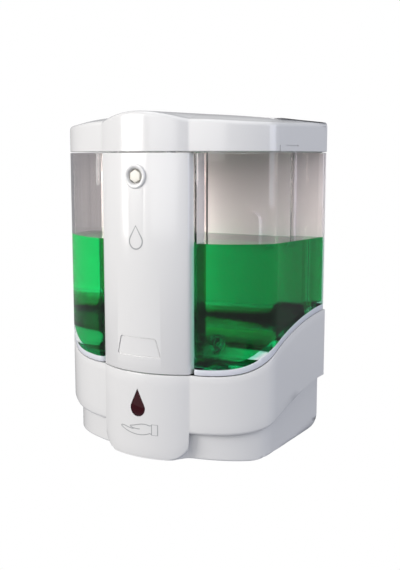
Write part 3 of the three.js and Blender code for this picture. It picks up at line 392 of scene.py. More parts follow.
def surface(name, grain, relief, rough, base, tint, shadow_tint=None, glow=None, **shader):
    """A material whose roughness, colour and relief vary with a grain size in metres."""
    found = bpy.data.materials.get(name)
    if found:
        return found
    material = bpy.data.materials.new(name)
    material.use_nodes = True
    tree = material.node_tree
    tree.nodes.clear()
    place = put(tree, "ShaderNodeTexCoord").outputs["Object"]
    noise = "ShaderNodeTexNoise"
    fine = put(tree, noise, {"Vector": place, "Scale": 1 / grain, "Detail": 3.0}).outputs["Fac"]
    broad = put(tree, noise, {"Vector": place, "Scale": BROAD_SCALE, "Detail": 2.0}).outputs["Fac"]
    spread = {"Value": broad, "To Min": rough * 0.8, "To Max": rough * 1.25}
    varied = put(tree, "ShaderNodeMapRange", spread)
    bump = put(tree, "ShaderNodeBump", {"Height": fine, "Distance": relief, "Strength": 0.6})
    dark = tuple(c * (1 - tint) for c in base)
    mottle = {"Factor": broad, MIX_COLOUR_A: (*dark, 1), MIX_COLOUR_B: (*base, 1)}
    mixed = put(tree, "ShaderNodeMix", mottle, data_type="RGBA").outputs[MIX_COLOUR_OUT]
    inputs = {"Base Color": mixed, "Roughness": varied.outputs[0], "Normal": bump.outputs[0]}
    # The shader's other sockets are given in plain words, such as coat_weight for "Coat Weight".
    for key, value in shader.items():
        inputs[key.replace("_", " ").title().replace("Ior", "IOR")] = value
    end = put(tree, "ShaderNodeBsdfPrincipled", inputs).outputs[0]
    if shadow_tint:
        # Lamps shine through clear pieces on to what is behind them.
        ray = put(tree, "ShaderNodeLightPath").outputs["Is Shadow Ray"]
        clear = put(tree, "ShaderNodeBsdfTransparent", {"Color": (*shadow_tint, 1)}).outputs[0]
        end = put(tree, "ShaderNodeMixShader", {"Fac": ray, 1: end, 2: clear}).outputs[0]
    if glow:
        # A lit sheet looks evenly bright from everywhere, and lights nothing itself.
        ray = put(tree, "ShaderNodeLightPath").outputs["Is Camera Ray"]
        even = put(tree, "ShaderNodeEmission", {"Color": (*glow, 1), "Strength": 1.0}).outputs[0]
        end = put(tree, "ShaderNodeMixShader", {"Fac": ray, 1: end, 2: even}).outputs[0]
    put(tree, "ShaderNodeOutputMaterial", {"Surface": end})
    material.diffuse_color = (*base, 1)
    return material


def colours():
    return bpy.context.scene.dispenser_colours


def sizes_now():
    return bpy.context.scene.dispenser_sizes


def white_abs():
    # ABS, injection moulded in a polished tool: clear highlights over a very faint orange peel.
    return surface("Moulded gloss ABS white", grain=1.6 * MM, relief=0.004 * MM, rough=0.2,
                   base=colours().white, tint=0.012, ior=1.53, coat_weight=0.25, coat_roughness=0.06)


def painted_lighter_housing_abs():
    # ABS, injection moulded in a plain tool: duller than the polished covers in front of it. Its white is
    # painted lighter than the covers' white. This is painted light, so that the inside of the reservoir,
    # which the lid shades, shows bright.
    return surface("Moulded satin ABS white painted lighter", grain=1.2 * MM, relief=0.006 * MM, rough=0.5,
                   base=linear("#FBF9F9"), tint=0.012, ior=1.53)


def grey_abs():
    # ABS, injection moulded with a pale grey pigment: the same gloss, a cooler and darker body.
    return surface("Moulded gloss ABS grey", grain=1.6 * MM, relief=0.004 * MM, rough=0.24,
                   base=colours().grey, tint=0.02, ior=1.53)


def clear_styrene():
    # Styrene-acrylonitrile, injection moulded clear: slow flow ripples bend what is seen through it.
    # The index is matched, below the plastic's own 1.57, so that the case behind it shows bright.
    return surface("Moulded clear SAN", grain=9 * MM, relief=0.02 * MM, rough=0.03,
                   base=colours().clear, tint=0.01, shadow_tint=linear("#FFFFFF"),
                   ior=1.38, transmission_weight=1.0)


def soap_liquid():
    # Liquid soap, dyed green: clear, with its colour in the body of the liquid.
    return surface("Dyed liquid soap", grain=12 * MM, relief=0.002 * MM, rough=0.01,
                   base=colours().soap, tint=0.05, shadow_tint=linear("#D0FFF4"),
                   ior=1.36, transmission_weight=1.0)


def red_acrylic():
    # Acrylic, moulded with a dark red dye: nearly black, with a deep red glow where light gets through.
    return surface("Moulded red acrylic", grain=5 * MM, relief=0.004 * MM, rough=0.05,
                   base=colours().lens, tint=0.3, ior=1.49, transmission_weight=0.35,
                   coat_weight=0.5, coat_roughness=0.03)


def zinc_steel():
    # Steel, pressed or turned and zinc plated: a soft grey sheen broken by fine crystals.
    return surface("Zinc-plated steel", grain=0.5 * MM, relief=0.006 * MM, rough=0.34,
                   base=colours().steel, tint=0.12, metallic=1.0)


def acetal():
    # Acetal, moulded undyed: a waxy off-white.
    return surface("Moulded natural acetal", grain=0.9 * MM, relief=0.006 * MM, rough=0.4,
                   base=colours().acetal, tint=0.04, ior=1.48)


def black_abs():
    # ABS, moulded black in a spark-eroded tool: a fine matt grain.
    return surface("Spark-textured black ABS", grain=0.35 * MM, relief=0.02 * MM, rough=0.5,
                   base=linear("#1B1B1D"), tint=0.2, ior=1.53)


def silicone():
    # Silicone rubber, extruded: milky and dull.
    return surface("Extruded silicone", grain=1.2 * MM, relief=0.01 * MM, rough=0.45,
                   base=linear("#DADAD6"), tint=0.05, ior=1.41, transmission_weight=0.35)


def cell_sleeve():
    # Shrink sleeve on a steel can: a glossy printed film.
    return surface("Battery shrink sleeve", grain=2.5 * MM, relief=0.004 * MM, rough=0.22,
                   base=linear("#2A2D33"), tint=0.15, coat_weight=0.6, coat_roughness=0.08)


def board_laminate():
    # Glass-epoxy laminate under solder mask: green, glossy, with the weave just showing.
    return surface("Solder-masked laminate", grain=0.45 * MM, relief=0.02 * MM, rough=0.3,
                   base=linear("#155C30"), tint=0.25, ior=1.55)


def symbol_ink():
    # Pad-printed ink on ABS: thin, matt and slightly uneven.
    return surface("Pad-printed ink", grain=0.6 * MM, relief=0.003 * MM, rough=0.45,
                   base=colours().ink, tint=0.12)


def lit_floor():
    # Opal acrylic light table: an even white glow with no shadow on it.
    return surface("Opal acrylic light table", grain=3 * MM, relief=0.01 * MM, rough=0.9,
                   base=linear("#9A9DA6"), tint=0.005, glow=colours().floor)


# ---------------------------------------------------------------- lid
CROWN = LID_HIGH.z - 0.1 * MM
ARCH_DROP = 5.2 * MM
ARCH_HALF = 89 * MM
ARCH_POWER = 1.35
BACK_TOP = 108.1 * MM
FALL_START = -62 * MM
FALL_LENGTH = 59 * MM
FRONT_EDGE = 108.3 * MM
CORNER_FALL = 2 * MM
SIDE_RISE = 1.2 * MM
SIDE_RISE_LENGTH = 60 * MM
REAR_DEPTH = 11 * MM
LID_MIDDLE_Y = -48 * MM
SEAM_CHAMFER = 0.35 * MM
REAR_STEPS = 12
RIM_RINGS = 8
ROOF_RINGS = 14


def lid_crown(x, y):
    """The lid's top, away from its edges: an arch across that falls to the back."""
    arch = CROWN - ARCH_DROP * (abs(x) / ARCH_HALF) ** ARCH_POWER
    return arch + (BACK_TOP - arch) * smooth((y - FALL_START) / FALL_LENGTH)


def lid_edge(sizes, x, y):
    """Height of the lid's top edge round its outline."""
    if y > LID_HIGH.y - 4 * MM:
        return lid_crown(x, y) - 0.6 * MM
    if abs(x) < sizes.column_half and y < sizes.column_y + 1 * MM:
        return FRONT_EDGE + ARCH_DROP * math.cos(math.pi * x / (2 * sizes.column_half))
    if y < sizes.corner_y:
        share = (abs(x) - sizes.column_half) / (sizes.corner_x - sizes.column_half)
        return FRONT_EDGE - CORNER_FALL * smooth(share)
    return FRONT_EDGE - CORNER_FALL + SIDE_RISE * smooth((y - sizes.corner_y) / SIDE_RISE_LENGTH)


def lid_rings(sizes, depth):
    """Rings of the lid's surface, or of one at a depth inside it, from the lower edge up to the middle."""
    sides = half_plan(sizes, LID_HIGH.y, sizes.corner_cut)
    end_x = sides[-1][0]
    rear = [(end_x - 0.15 * MM, LID_HIGH.y)]
    rear += [(end_x - end_x * i / REAR_STEPS, LID_HIGH.y) for i in range(1, REAR_STEPS + 1)]
    half = sides + rear
    outline = half + mirrored(half)[1:-1]
    half_bottoms = [LID_SEAM] * len(sides) + [LID_HIGH.z - REAR_DEPTH] * len(rear)
    bottoms = half_bottoms + half_bottoms[-2:0:-1]
    tops = [lid_edge(sizes, x, y) - depth for x, y in outline]

    inner = moved_in(outline, True, depth)
    seam = moved_in(inner, True, -SEAM_CHAMFER if depth else SEAM_CHAMFER)
    rings = [[(x, y, z) for (x, y), z in zip(seam, bottoms)],
             [(x, y, z + SEAM_CHAMFER) for (x, y), z in zip(inner, bottoms)]]
    rim = max(sizes.rim - depth, 0.8 * MM)
    for k in range(RIM_RINGS):
        a = math.radians(90 * k / (RIM_RINGS - 1))
        ring = moved_in(inner, True, rim * (1 - math.cos(a)))
        rings.append([(x, y, top - rim + rim * math.sin(a)) for (x, y), top in zip(ring, tops)])
    start = moved_in(inner, True, rim)
    for k in range(1, ROOF_RINGS + 1):
        # The last ring stops just short of the middle, where it is capped.
        share = k / ROOF_RINGS * 0.996
        ring = []
        for (x, y), top in zip(start, tops):
            p = Vector((x, y)).lerp(Vector((x * 0.86, LID_MIDDLE_Y)), share)
            fade = math.exp(-(p - Vector((x, y))).length / (11 * MM))
            ring.append((p.x, p.y, lid_crown(p.x, p.y) - depth - (lid_crown(x, y) - depth - top) * fade))
        rings.append(ring)
    return rings


def hinge_knuckles():
    """Two tabs on each side that hang from the roof round the hinge pin."""
    eye, width, gap = 2.5 * MM, 5.5 * MM, 3.4 * MM
    top = LID_HIGH.z - 7 * MM
    turns = [math.radians(a) for a in range(180, 361, 12)]
    arc = [(HINGE_Y + eye * math.cos(a), HINGE_Z + eye * math.sin(a)) for a in turns]
    tab = [(HINGE_Y - eye, top)] + arc + [(HINGE_Y + eye, top - 1 * MM)]
    starts = [(side * HINGE_X + end * gap, end * width) for side in (-1, 1) for end in (-1, 1)]
    return [prism("knuckle", tab, "X", start, start + reach) for start, reach in starts]


def hinge_bores():
    """Cutters for the holes that the hinge pins pass through."""
    radius, reach = 1.5 * MM, 9.5 * MM
    turns = [i * math.pi / 12 for i in range(24)]
    bore = [(HINGE_Y + radius * math.cos(a), HINGE_Z + radius * math.sin(a)) for a in turns]
    return [prism("eye", bore, "X", side * HINGE_X - reach, side * HINGE_X + reach) for side in (-1, 1)]


def round_striker(name, margin, low, high):
    """A block as wide and deep as the striker, with a margin, between two heights."""
    outline = rectangle(STRIKER_LOW.x - margin, STRIKER_LOW.y - margin,
                        STRIKER_HIGH.x + margin, STRIKER_HIGH.y + margin)
    return prism(name, outline, "Z", low, high)


def side_notches(sizes):
    """Cutters for the shallow line that marks off a notch low on each side of the lid."""
    start, reach = -63 * MM, 26 * MM
    high, line = LID_SEAM + 3.2 * MM, 0.8 * MM
    near, far = 78 * MM, 92 * MM
    skin = [p for p in half_plan(sizes, LID_HIGH.y, sizes.corner_cut) if start <= p[1] <= start + reach]
    keep = moved_in(half_plan(sizes, 0, sizes.corner_cut), False, line)
    cutters = []
    for side in (-1, 1):
        band = [(side * x, y) for x, y in moved_in(skin, False, line)]
        band += [(side * (x + 2 * MM), y) for x, y in reversed(skin)]
        cutters.append(prism("groove", band, "Z", high, high + line))
        across = rectangle(side * near, start, side * far, start + line)
        upright = prism("upright", across, "Z", LID_SEAM - 1 * MM, high + line)
        core = [(side * x, y) for x, y in keep] + [(0, 0)]
        inside = prism("inside", core, "Z", LID_SEAM - 2 * MM, high + 2 * MM)
        cutters.append(combine(upright, [inside], "DIFFERENCE"))
    return cutters


class DISPENSER_OT_lid(bpy.types.Operator):
    """Build the lid, with its hinge knuckles and the socket of its steel striker"""
    bl_idname = "dispenser.lid"
    bl_label = "Lid"

    def execute(self, context):
        sizes = sizes_now()
        wall, room = 1.5 * MM, 0.3 * MM
        obj = loft("lid_shell", lid_rings(sizes, 0)[::-1] + lid_rings(sizes, sizes.wall), True, False)
        socket = round_striker("socket", wall, STRIKER_HIGH.z - 8.8 * MM, CROWN - 3.2 * MM)
        combine(obj, [*hinge_knuckles(), socket], "UNION")
        slot = round_striker("slot", room, STRIKER_HIGH.z - 12 * MM, STRIKER_HIGH.z + room)
        combine(obj, [slot, *side_notches(sizes), *hinge_bores()], "DIFFERENCE")
        piece(obj, white_abs(), "lid", "white_abs", "lid")
        return {"FINISHED"}


# ---------------------------------------------------------------- column
def wall_loop(low, high, wall, edge):
    """Section of a wall with softened edges: (depth inside the outside, height)."""
    near = edge * 0.3
    return [(0, low + edge), (0, (low + high) / 2), (0, high - edge), (near, high - near), (edge, high),
            (wall - near, high), (wall, high - near), (wall, low + near), (wall - near, low), (edge, low),
            (near, low + near)]


def label_seat(sizes):
    """Cutters for the shallow seat low on the column, wider at its foot, and the line round it."""
    depth, line_width, rounding = 0.45 * MM, 0.75 * MM, 1.6 * MM
    low, high, low_reach, high_reach = -44.2 * MM, -32 * MM, 16.8 * MM, 13.5 * MM
    outside = sizes.column_front - 4 * MM
    rings = []
    for i in range(33):
        share = i / 16 - 1
        x, top_x = share * low_reach, share * high_reach
        rings.append([(x, column_arc(sizes, x) + depth, low), (x, outside, low),
                      (top_x, outside, high), (top_x, column_arc(sizes, top_x) + depth, high)])
    seat = loft("seat", rings, True, False)
    corners = [Vector((-low_reach, low)), Vector((low_reach, low)),
               Vector((high_reach, high)), Vector((-high_reach, high))]
    outline = []
    for i, corner in enumerate(corners):
        following = corners[(i + 1) % 4]
        end = toward(corner, following, rounding)
        next_start = toward(following, corner, rounding)
        outline += bend(toward(corner, corners[i - 1], rounding), corner, end, 6)
        outline += [tuple(end.lerp(next_start, k / 14)) for k in range(1, 14)]
    return [seat, ribbon("line", outline, line_width, sizes, True, line_width, -1.5 * MM)]


class DISPENSER_OT_column(bpy.types.Operator):
    """Build the column cover, with its lock hole and label seat"""
    bl_idname = "dispenser.column"
    bl_label = "Column cover"

    def execute(self, context):
        sizes = sizes_now()
        half, turn, lock_hole = sizes.column_half, 1.4 * MM, 6.2 * MM
        before, behind = -110 * MM, -92 * MM
        front = [(x, column_arc(sizes, x)) for x in ((half - turn) * i / 24 for i in range(25))]
        edge = bend(front[-1], (half, sizes.column_y), (half, sizes.column_y + turn), CREASE_STEPS)[1:]
        run = [(half, sizes.column_y + (COLUMN_HIGH.y - sizes.column_y) * t) for t in (0.35, 0.7, 1.0)]
        right = front + edge + run
        path = mirrored(right)[:-1] + right
        loop = wall_loop(COLUMN_LOW.z, COLUMN_HIGH.z, sizes.wall, 0.5 * MM)
        rings = [[(x, y, z) for x, y in moved_in(path, False, depth)] for depth, z in loop]
        obj = loft("column_shell", rings, False, True)
        hole = turned("hole", [(lock_hole, before), (lock_hole, behind)], (0, 0, LOCK_Z), "Y")
        combine(obj, [hole, *label_seat(sizes)], "DIFFERENCE")
        piece(obj, white_abs(), "case", "white_abs", "column_cover", angle=24)
        return {"FINISHED"}


# ---------------------------------------------------------------- lock
LOCK_SIDES = 72


def lock_ring(front, centre):
    """The raised white ring round the lock."""
    outer, mouth = 8 * MM, 5.3 * MM
    section = [
        (outer, front - 0.05 * MM), (outer - 0.15 * MM, front - 0.55 * MM),
        (outer - 0.6 * MM, front - 0.95 * MM), (outer - 1.1 * MM, front - 1.05 * MM),
        (mouth + 0.5 * MM, front - 0.85 * MM), (mouth + 0.1 * MM, front - 0.5 * MM),
        (mouth, front - 0.05 * MM)]
    return turned("lock_ring", section, centre, "Y", LOCK_SIDES, True)


def lock_collar(front, centre):
    """The sleeve inside the ring, with the recess that the spindle's head sits in."""
    outer, lip, bore, neck = 5.8 * MM, 5.2 * MM, 4.85 * MM, 2.8 * MM
    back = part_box("lock_sleeve")[1].y
    section = [
        (outer, back), (outer, front + 0.4 * MM), (outer - 0.2 * MM, front + 0.1 * MM), (lip, front),
        (bore, front + 0.3 * MM), (bore, front + 2.2 * MM), (neck, front + 4 * MM), (neck, back)]
    return turned("lock_collar", section, centre, "Y", LOCK_SIDES, True)


def lock_hexagon(front, centre):
    """The spindle: a hexagon head that a key fits over, on a round shaft."""
    corner = 7.4 * MM / math.sqrt(3)
    turns = [math.radians(60 * k) for k in range(6)]
    section = ((corner, front + 2.7 * MM), (corner, front + 0.1 * MM),
               (corner - 0.5 * MM, front - 0.35 * MM), (corner - 1.9 * MM, front - 0.45 * MM))
    head = [[(radius * math.sin(a), y, LOCK_Z + radius * math.cos(a)) for a in turns]
            for radius, y in section]
    spindle = rounded(loft("lock_hexagon", head, True, False), 0.18 * MM, 3, 25)
    shaft_back, shaft_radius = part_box("lock_spindle")[1].y, 2.35 * MM
    profile = [(shaft_radius, shaft_back), (shaft_radius, front + 2.5 * MM)]
    return combine(spindle, [turned("shaft", profile, centre, "Y", 32)], "UNION")


class DISPENSER_OT_lock(bpy.types.Operator):
    """Build the lock's ring, collar and hexagon spindle"""
    bl_idname = "dispenser.lock"
    bl_label = "Lock"

    def execute(self, context):
        front, centre = sizes_now().column_front, (0, 0, LOCK_Z)
        piece(lock_ring(front, centre), white_abs(), "case", "grey_abs", "lock_bezel", angle=50)
        piece(lock_collar(front, centre), white_abs(), "case", "white_abs", "lock_sleeve")
        piece(lock_hexagon(front, centre), acetal(), "lock", "natural_plastic", "lock_spindle")
        return {"FINISHED"}


# ---------------------------------------------------------------- lower cover
TONGUE_CORNER = 10 * MM
TONGUE_LEAD = 3 * MM


def skirt_limit(sizes, z, inside):
    """Half width of the skirt at a height, with its large rounded side bottoms."""
    half, radius = sizes.half_width - sizes.skirt_inset - inside, sizes.skirt_round - inside
    start = SKIRT_BOTTOM + sizes.skirt_round
    if z >= start:
        return half
    drop = min(start - z, radius)
    return half - radius + math.sqrt(max(radius ** 2 - drop ** 2, 0))


def cover_columns(sizes):
    """For each place along the front: both plans' points and normals, top, ledge and skirt inset."""
    right = half_plan(sizes, COVER_HIGH.y, sizes.corner_cut)
    below = half_plan(sizes, COVER_HIGH.y, sizes.skirt_cut)
    path, low_path = mirrored(right)[:-1] + right, mirrored(below)[:-1] + below
    outward, low_outward = normals(path, False), normals(low_path, False)
    tongue_bottom = SKIRT_BOTTOM + 0.9 * MM
    found = []
    for p, q, n, m in zip(path, low_path, outward, low_outward):
        x, y = abs(p[0]), p[1]
        top = deck_edge(y) - 0.65 * MM
        if x < sizes.column_half - sizes.crease / 2 and y < -80 * MM:
            # Under the column the cover runs down as a tongue with rounded corners.
            start = sizes.column_half - TONGUE_CORNER
            drop = math.sqrt(max(TONGUE_CORNER ** 2 - max(x - start, 0) ** 2, 0))
            ledge = tongue_bottom + TONGUE_CORNER - drop
            inset = sizes.skirt_inset * smooth((x - start + TONGUE_LEAD) / (TONGUE_CORNER + TONGUE_LEAD))
        else:
            ledge, inset = ledge_edge(y), sizes.skirt_inset
        found.append((Vector(p), Vector(q), n, m, top, ledge, inset))
    return found


def cover_section(sizes, column):
    """The section of the lower cover at one place: a closed loop of points."""
    p, q, n, m, top, ledge, inset = column
    wall, base = sizes.wall, SKIRT_BOTTOM
    turn = min(sizes.ledge_round, max(inset, 0.2 * MM) * 0.55)
    edge, lip = 1.2 * MM, 0.5 * MM

    def at(depth, z, share, inside=0.0):
        """share runs from the cover's plan to the rounder plan of the skirt."""
        point = p.lerp(q, share) - n.lerp(m, share).normalized() * depth
        if share > 0:
            limit = skirt_limit(sizes, z, inside)
            point.x = max(-limit, min(limit, point.x))
        return (point.x, point.y, z)

    # Rounded top edge, then the face down to the ledge
    loop = [at(lip, top, 0), at(0.12 * MM, top - 0.12 * MM, 0), at(0, top - lip, 0)]
    knee = ledge + turn
    loop += [at(0, top - lip + (knee - top + lip) * k / 8, 0) for k in range(1, 8)]
    for k in range(6):
        a = math.radians(90 * k / 5)
        loop.append(at(turn * (1 - math.cos(a)), knee - turn * math.sin(a), 0.01 * k))
    # Under the ledge, in to the skirt, and down it
    hollow = (inset - turn) * 0.7
    loop.append(at(inset - hollow, ledge - 0.05 * MM, 0.3))
    loop.append(at(inset - hollow * 0.4, ledge - 0.35 * MM, 0.7))
    start = ledge - 0.9 * MM
    loop += [at(inset, start + (base + edge - start) * (k / 16) ** 0.85, 1) for k in range(17)]
    for k in range(1, 5):
        a = math.radians(90 * k / 4)
        loop.append(at(inset + edge * (1 - math.cos(a)), base + edge - edge * math.sin(a), 1))
    opening = sizes.half_width - sizes.skirt_inset - sizes.skirt_round

    def clipped(depth, z):
        x, y, _ = at(depth, z, 1)
        return (max(-opening, min(opening, x)), y, z)

    # Round the opening for the tray, and back up inside
    loop += [clipped(inset + wall, base), clipped(inset + wall, base + wall + 1 * MM)]
    inner_top = ledge + wall * 0.8
    low_start = base + wall + 1.2 * MM
    low_end = max(ledge - 1 * MM, low_start + 1 * MM)
    loop += [at(inset + wall, low_start + (low_end - low_start) * k / 8, 1, wall) for k in range(9)]
    lift = max(inner_top, low_end + 0.5 * MM)
    loop += [at(wall, lift + (top - lift) * k / 4, 0) for k in range(5)]
    return loop


def drop_outline(tip, centre, radius, count):
    """A drop as (x, z): a round bottom about a centre height, drawn up to a point."""
    start = math.asin(radius / (tip - centre))
    angles = [math.pi - start + (math.pi + 2 * start) * i / count for i in range(count + 1)]
    return [(0, tip)] + [(radius * math.cos(a), centre + radius * math.sin(a)) for a in angles]


def lens_outline(out):
    """The lens's drop, let out by a distance."""
    radius = (LENS_HIGH.x - LENS_LOW.x) / 2
    return drop_outline(LENS_HIGH.z + 2 * out, LENS_LOW.z + radius, radius + out, 40)


class DISPENSER_OT_lower_cover(bpy.types.Operator):
    """Build the lower cover: its S-shaped top edge, ledge, skirt and the hole for the lens"""
    bl_idname = "dispenser.lower_cover"
    bl_label = "Lower cover"

    def execute(self, context):
        sizes = sizes_now()
        sections = [cover_section(sizes, column) for column in cover_columns(sizes)]
        obj = loft("lower_shell", [list(ring) for ring in zip(*sections)], False, True)
        hole = prism("hole", lens_outline(0.25 * MM), "Y", -90 * MM, -110 * MM)
        combine(obj, [hole], "DIFFERENCE")
        piece(obj, white_abs(), "case", "white_abs", "lower_cover")
        return {"FINISHED"}


class DISPENSER_OT_lens(bpy.types.Operator):
    """Build the drop-shaped indicator lens"""
    bl_idname = "dispenser.lens"
    bl_label = "Indicator lens"

    def execute(self, context):
        lens = prism("indicator_drop", lens_outline(0), "Y", LENS_HIGH.y, LENS_LOW.y - 0.2 * MM)
        rounded(lens, 0.5 * MM, 3, 60)
        piece(lens, red_acrylic(), "case", "red_lens", "indicator_lens")
        return {"FINISHED"}


# ---------------------------------------------------------------- reservoir, soap and deck
OUTLET_X, OUTLET_Y = 42 * MM, -69.5 * MM
STRIP_FOOT, STRIP_TOP, TANK_FOOT = 0.1 * MM, 3.6 * MM, 3.9 * MM
DRILL_LENGTH = 60 * MM


def tank_plan(sizes, back):
    """The reservoir's plan, with a recess for the column and a pocket over the wall plate."""
    recess, round_by = 35.1 * MM, 4.5 * MM
    recess_back = COLUMN_HIGH.y + 1 * MM
    edge_y = sizes.column_y + 0.3 * MM
    face = [p for p in half_plan(sizes, back, sizes.corner_cut, False) if p[0] > recess + round_by]
    turn = bend((recess, edge_y + round_by), (recess, edge_y), face[0], 8)
    pocket, depth = 66 * MM, 8.1 * MM
    right = [(recess, recess_back)] + turn + face[1:]
    right += [(pocket, back), (pocket, back - depth)]
    return right + mirrored(right)


def outlet_drill(radius):
    """A cutter for the outlet's hole, from the middle of the case down."""
    return turned("drill", [(radius, -DRILL_LENGTH), (radius, 0.0)], (OUTLET_X, OUTLET_Y, 0), "Z", 40)


def outlet_spigot(floor_z):
    """The outlet: a collar that stands up from the floor, and the spigot that the hose fits over."""
    bore, spigot, neck, outer = 1.8 * MM, 3 * MM, 3.6 * MM, 5 * MM
    shoulder = floor_z - 5 * MM
    section = [
        (bore, TANK_LOW.z), (spigot, TANK_LOW.z), (spigot, shoulder), (outer, shoulder),
        (outer, floor_z + 4.2 * MM), (outer - 0.4 * MM, floor_z + 4.8 * MM), (4 * MM, floor_z + 4.8 * MM),
        (neck, floor_z + 4 * MM), (bore, floor_z - 3 * MM)]
    return turned("spigot", section, (OUTLET_X, OUTLET_Y, 0), "Z", 40, True)


class DISPENSER_OT_reservoir(bpy.types.Operator):
    """Build the clear reservoir, the soap in it and the deck strip under it"""
    bl_idname = "dispenser.reservoir"
    bl_label = "Reservoir"

    def execute(self, context):
        sizes = sizes_now()
        wall, mouth = sizes.tank_wall, TANK_HIGH.z
        plan = tank_plan(sizes, TANK_HIGH.y)
        floor = above(deck_edge, TANK_FOOT + wall)
        tank = slab("reservoir_shell", plan, above(deck_edge, TANK_FOOT), lambda y: mouth)
        hollow = slab("hollow", moved_in(plan, True, wall), floor, lambda y: mouth + 5 * MM)
        combine(tank, [hollow, outlet_drill(1.75 * MM)], "DIFFERENCE")
        combine(tank, [outlet_spigot(floor(OUTLET_Y))], "UNION")
        piece(tank, clear_styrene(), "case", "clear_plastic", "reservoir")

        # The soap reaches a hair into the walls, so that no film of air shows between them.
        touch = 0.04 * MM
        soap_plan = moved_in(plan, True, wall - touch)
        soap_foot = above(deck_edge, TANK_FOOT + wall - touch)
        soap = slab("soap_fill", soap_plan, soap_foot, lambda y: SOAP_TOP)
        piece(soap, soap_liquid(), "case", "green_soap", "soap")

        strip_plan = moved_in(plan, True, 0.15 * MM)
        strip = slab("deck_strip", strip_plan, above(deck_edge, STRIP_FOOT), above(deck_edge, STRIP_TOP))
        combine(strip, [outlet_drill(3.5 * MM)], "DIFFERENCE")
        rounded(strip, 0.45 * MM, 2, 60)
        piece(strip, grey_abs(), "case", "grey_abs", "deck")
        return {"FINISHED"}


# ---------------------------------------------------------------- printed symbols
def ribbon(name, points, width, sizes, closed=False, inner=0.01 * MM, outer=-0.05 * MM):
    """A printed line that follows the column's curve: points are (x, z)."""
    line = [Vector(p) for p in points]
    count = len(line)
    rings = []
    for i, p in enumerate(line):
        a = line[i - 1] if closed or i else line[0]
        b = line[(i + 1) % count] if closed or i < count - 1 else line[i]
        along = (b - a).normalized()
        across = Vector((-along.y, along.x)) * width / 2
        ring = []
        for offset, lift in ((across, inner), (across, outer), (-across, outer), (-across, inner)):
            q = p + offset
            ring.append((q.x, column_arc(sizes, q.x) + lift, q.y))
        rings.append(ring)
    return loft(name, rings, True, closed)


HAND_LINE = 0.55 * MM
HAND_MIDDLE = -93 * MM
CUFF_START, CUFF_END, CUFF_HALF = 10.4 * MM, 14.6 * MM, 3.6 * MM
DROP_LINE = 0.9 * MM
DROP_TIP, DROP_CENTRE, DROP_RADIUS = 41 * MM, 31 * MM, 5 * MM


def hand_lines(middle):
    """The open lines of a plain flat hand that points left, with two short ones on to the cuff."""
    def curve(steps, *points):
        return bezier([(x * MM, middle + z * MM) for x, z in points], steps)

    fingers = curve(20, (9, -2.6), (2, -6), (-9, -4), (-14.6, -0.6))
    palm = curve(14, (-14.6, -0.6), (-13, 1.4), (-7, -1.6), (-3.2, -0.8))
    thumb = curve(16, (-6.2, 0.9), (-1, 1.5), (3, 4.6), (9, 2.6))
    web = curve(12, (-6.2, 0.9), (-7, -0.4), (-1, -0.9), (1.6, -0.4))
    wrist = [[(9 * MM, middle + side * 2.6 * MM), (CUFF_START, middle + side * 3 * MM)]
             for side in (1, -1)]
    return [fingers + palm[1:], thumb, web, *wrist]


class DISPENSER_OT_symbols(bpy.types.Operator):
    """Print the plain hand symbol under the lens and a plain drop on the column"""
    bl_idname = "dispenser.symbols"
    bl_label = "Symbols"

    def execute(self, context):
        sizes = sizes_now()
        for i, line in enumerate(hand_lines(HAND_MIDDLE)):
            piece(ribbon(f"hand_line_{i + 1}", line, HAND_LINE, sizes), symbol_ink(), "case", "grey_abs")
        cuff = rectangle(CUFF_START, HAND_MIDDLE - CUFF_HALF, CUFF_END, HAND_MIDDLE + CUFF_HALF)
        piece(ribbon("hand_cuff", cuff, HAND_LINE, sizes, True), symbol_ink(), "case", "grey_abs")
        drop = drop_outline(DROP_TIP, DROP_CENTRE, DROP_RADIUS, 36)
        piece(ribbon("drop_line", drop, DROP_LINE, sizes, True), symbol_ink(), "case", "grey_abs")
        return {"FINISHED"}


# ---------------------------------------------------------------- carried-over pieces
FINISHES = {
    white_abs: ("base_tray", "battery_door", "nozzle"),
    # The back housing's white is painted lighter than the covers', as painted light for the shaded inside
    # of the reservoir.
    painted_lighter_housing_abs: ("back_housing",),
    zinc_steel: ("wall_plate", "cover_screw_", "hinge_pin_", "lock_nut", "lock_cam", "cam_screw",
                 "contact_spring_", "door_contact_", "lid_striker", "striker_pin", "idler_pin",
                 "motor", "motor_shaft", "board_screw_"),
    acetal: ("drive_gear", "idler_gear", "pump_body", "pump_cover"),
    black_abs: ("battery_box", "ir_emitter", "ir_receiver", "power_switch", "switch_slider"),
    red_acrylic: ("ir_window", "indicator_led"),
    silicone: ("inlet_hose", "outlet_hose", "nozzle_valve"),
    cell_sleeve: ("battery_1", "battery_2", "battery_3", "battery_4"),
    board_laminate: ("circuit_board",),
}


class DISPENSER_OT_finishes(bpy.types.Operator):
    """Give every carried-over piece its material"""
    bl_idname = "dispenser.finishes"
    bl_label = "Finishes"

    def execute(self, context):
        for make, names in FINISHES.items():
            for name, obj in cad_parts.items():
                numbered = any(n.endswith("_") and name.startswith(n) for n in names)
                if name in names or numbered:
                    obj.data.materials.clear()
                    obj.data.materials.append(make())
        return {"FINISHED"}


# ---------------------------------------------------------------- stage
LENS_MM, SENSOR_MM = 54.62, 36
CAMERA_PLACE = (0.31693, -0.55849, 0.08413)
CAMERA_DOWN, CAMERA_ROUND = 8.378, 30.591  # degrees
LAMPS = (  # name, place, what it points at, side in metres, watts and colour
    ("key", (-0.9, -1.2, 0.45), (0, -0.05, 0), 0.9, 19, "#FFFCF8"),
    ("front", (0.12, -1.5, 0.55), (0, -0.05, 0.05), 1.0, 6.5, "#FFFDFC"),
    ("fill", (1.4, -0.12, 0.45), (0, -0.05, 0.03), 1.0, 9.5, "#EEF2FF"),
    ("overhead", (0.0, -0.1, 1.4), (0, -0.1, 0), 1.2, 6, "#FFFFFF"),
)
FLOOR_Z = -0.9
FLOOR_HALF = 3
ROOM_LIGHT = 0.34


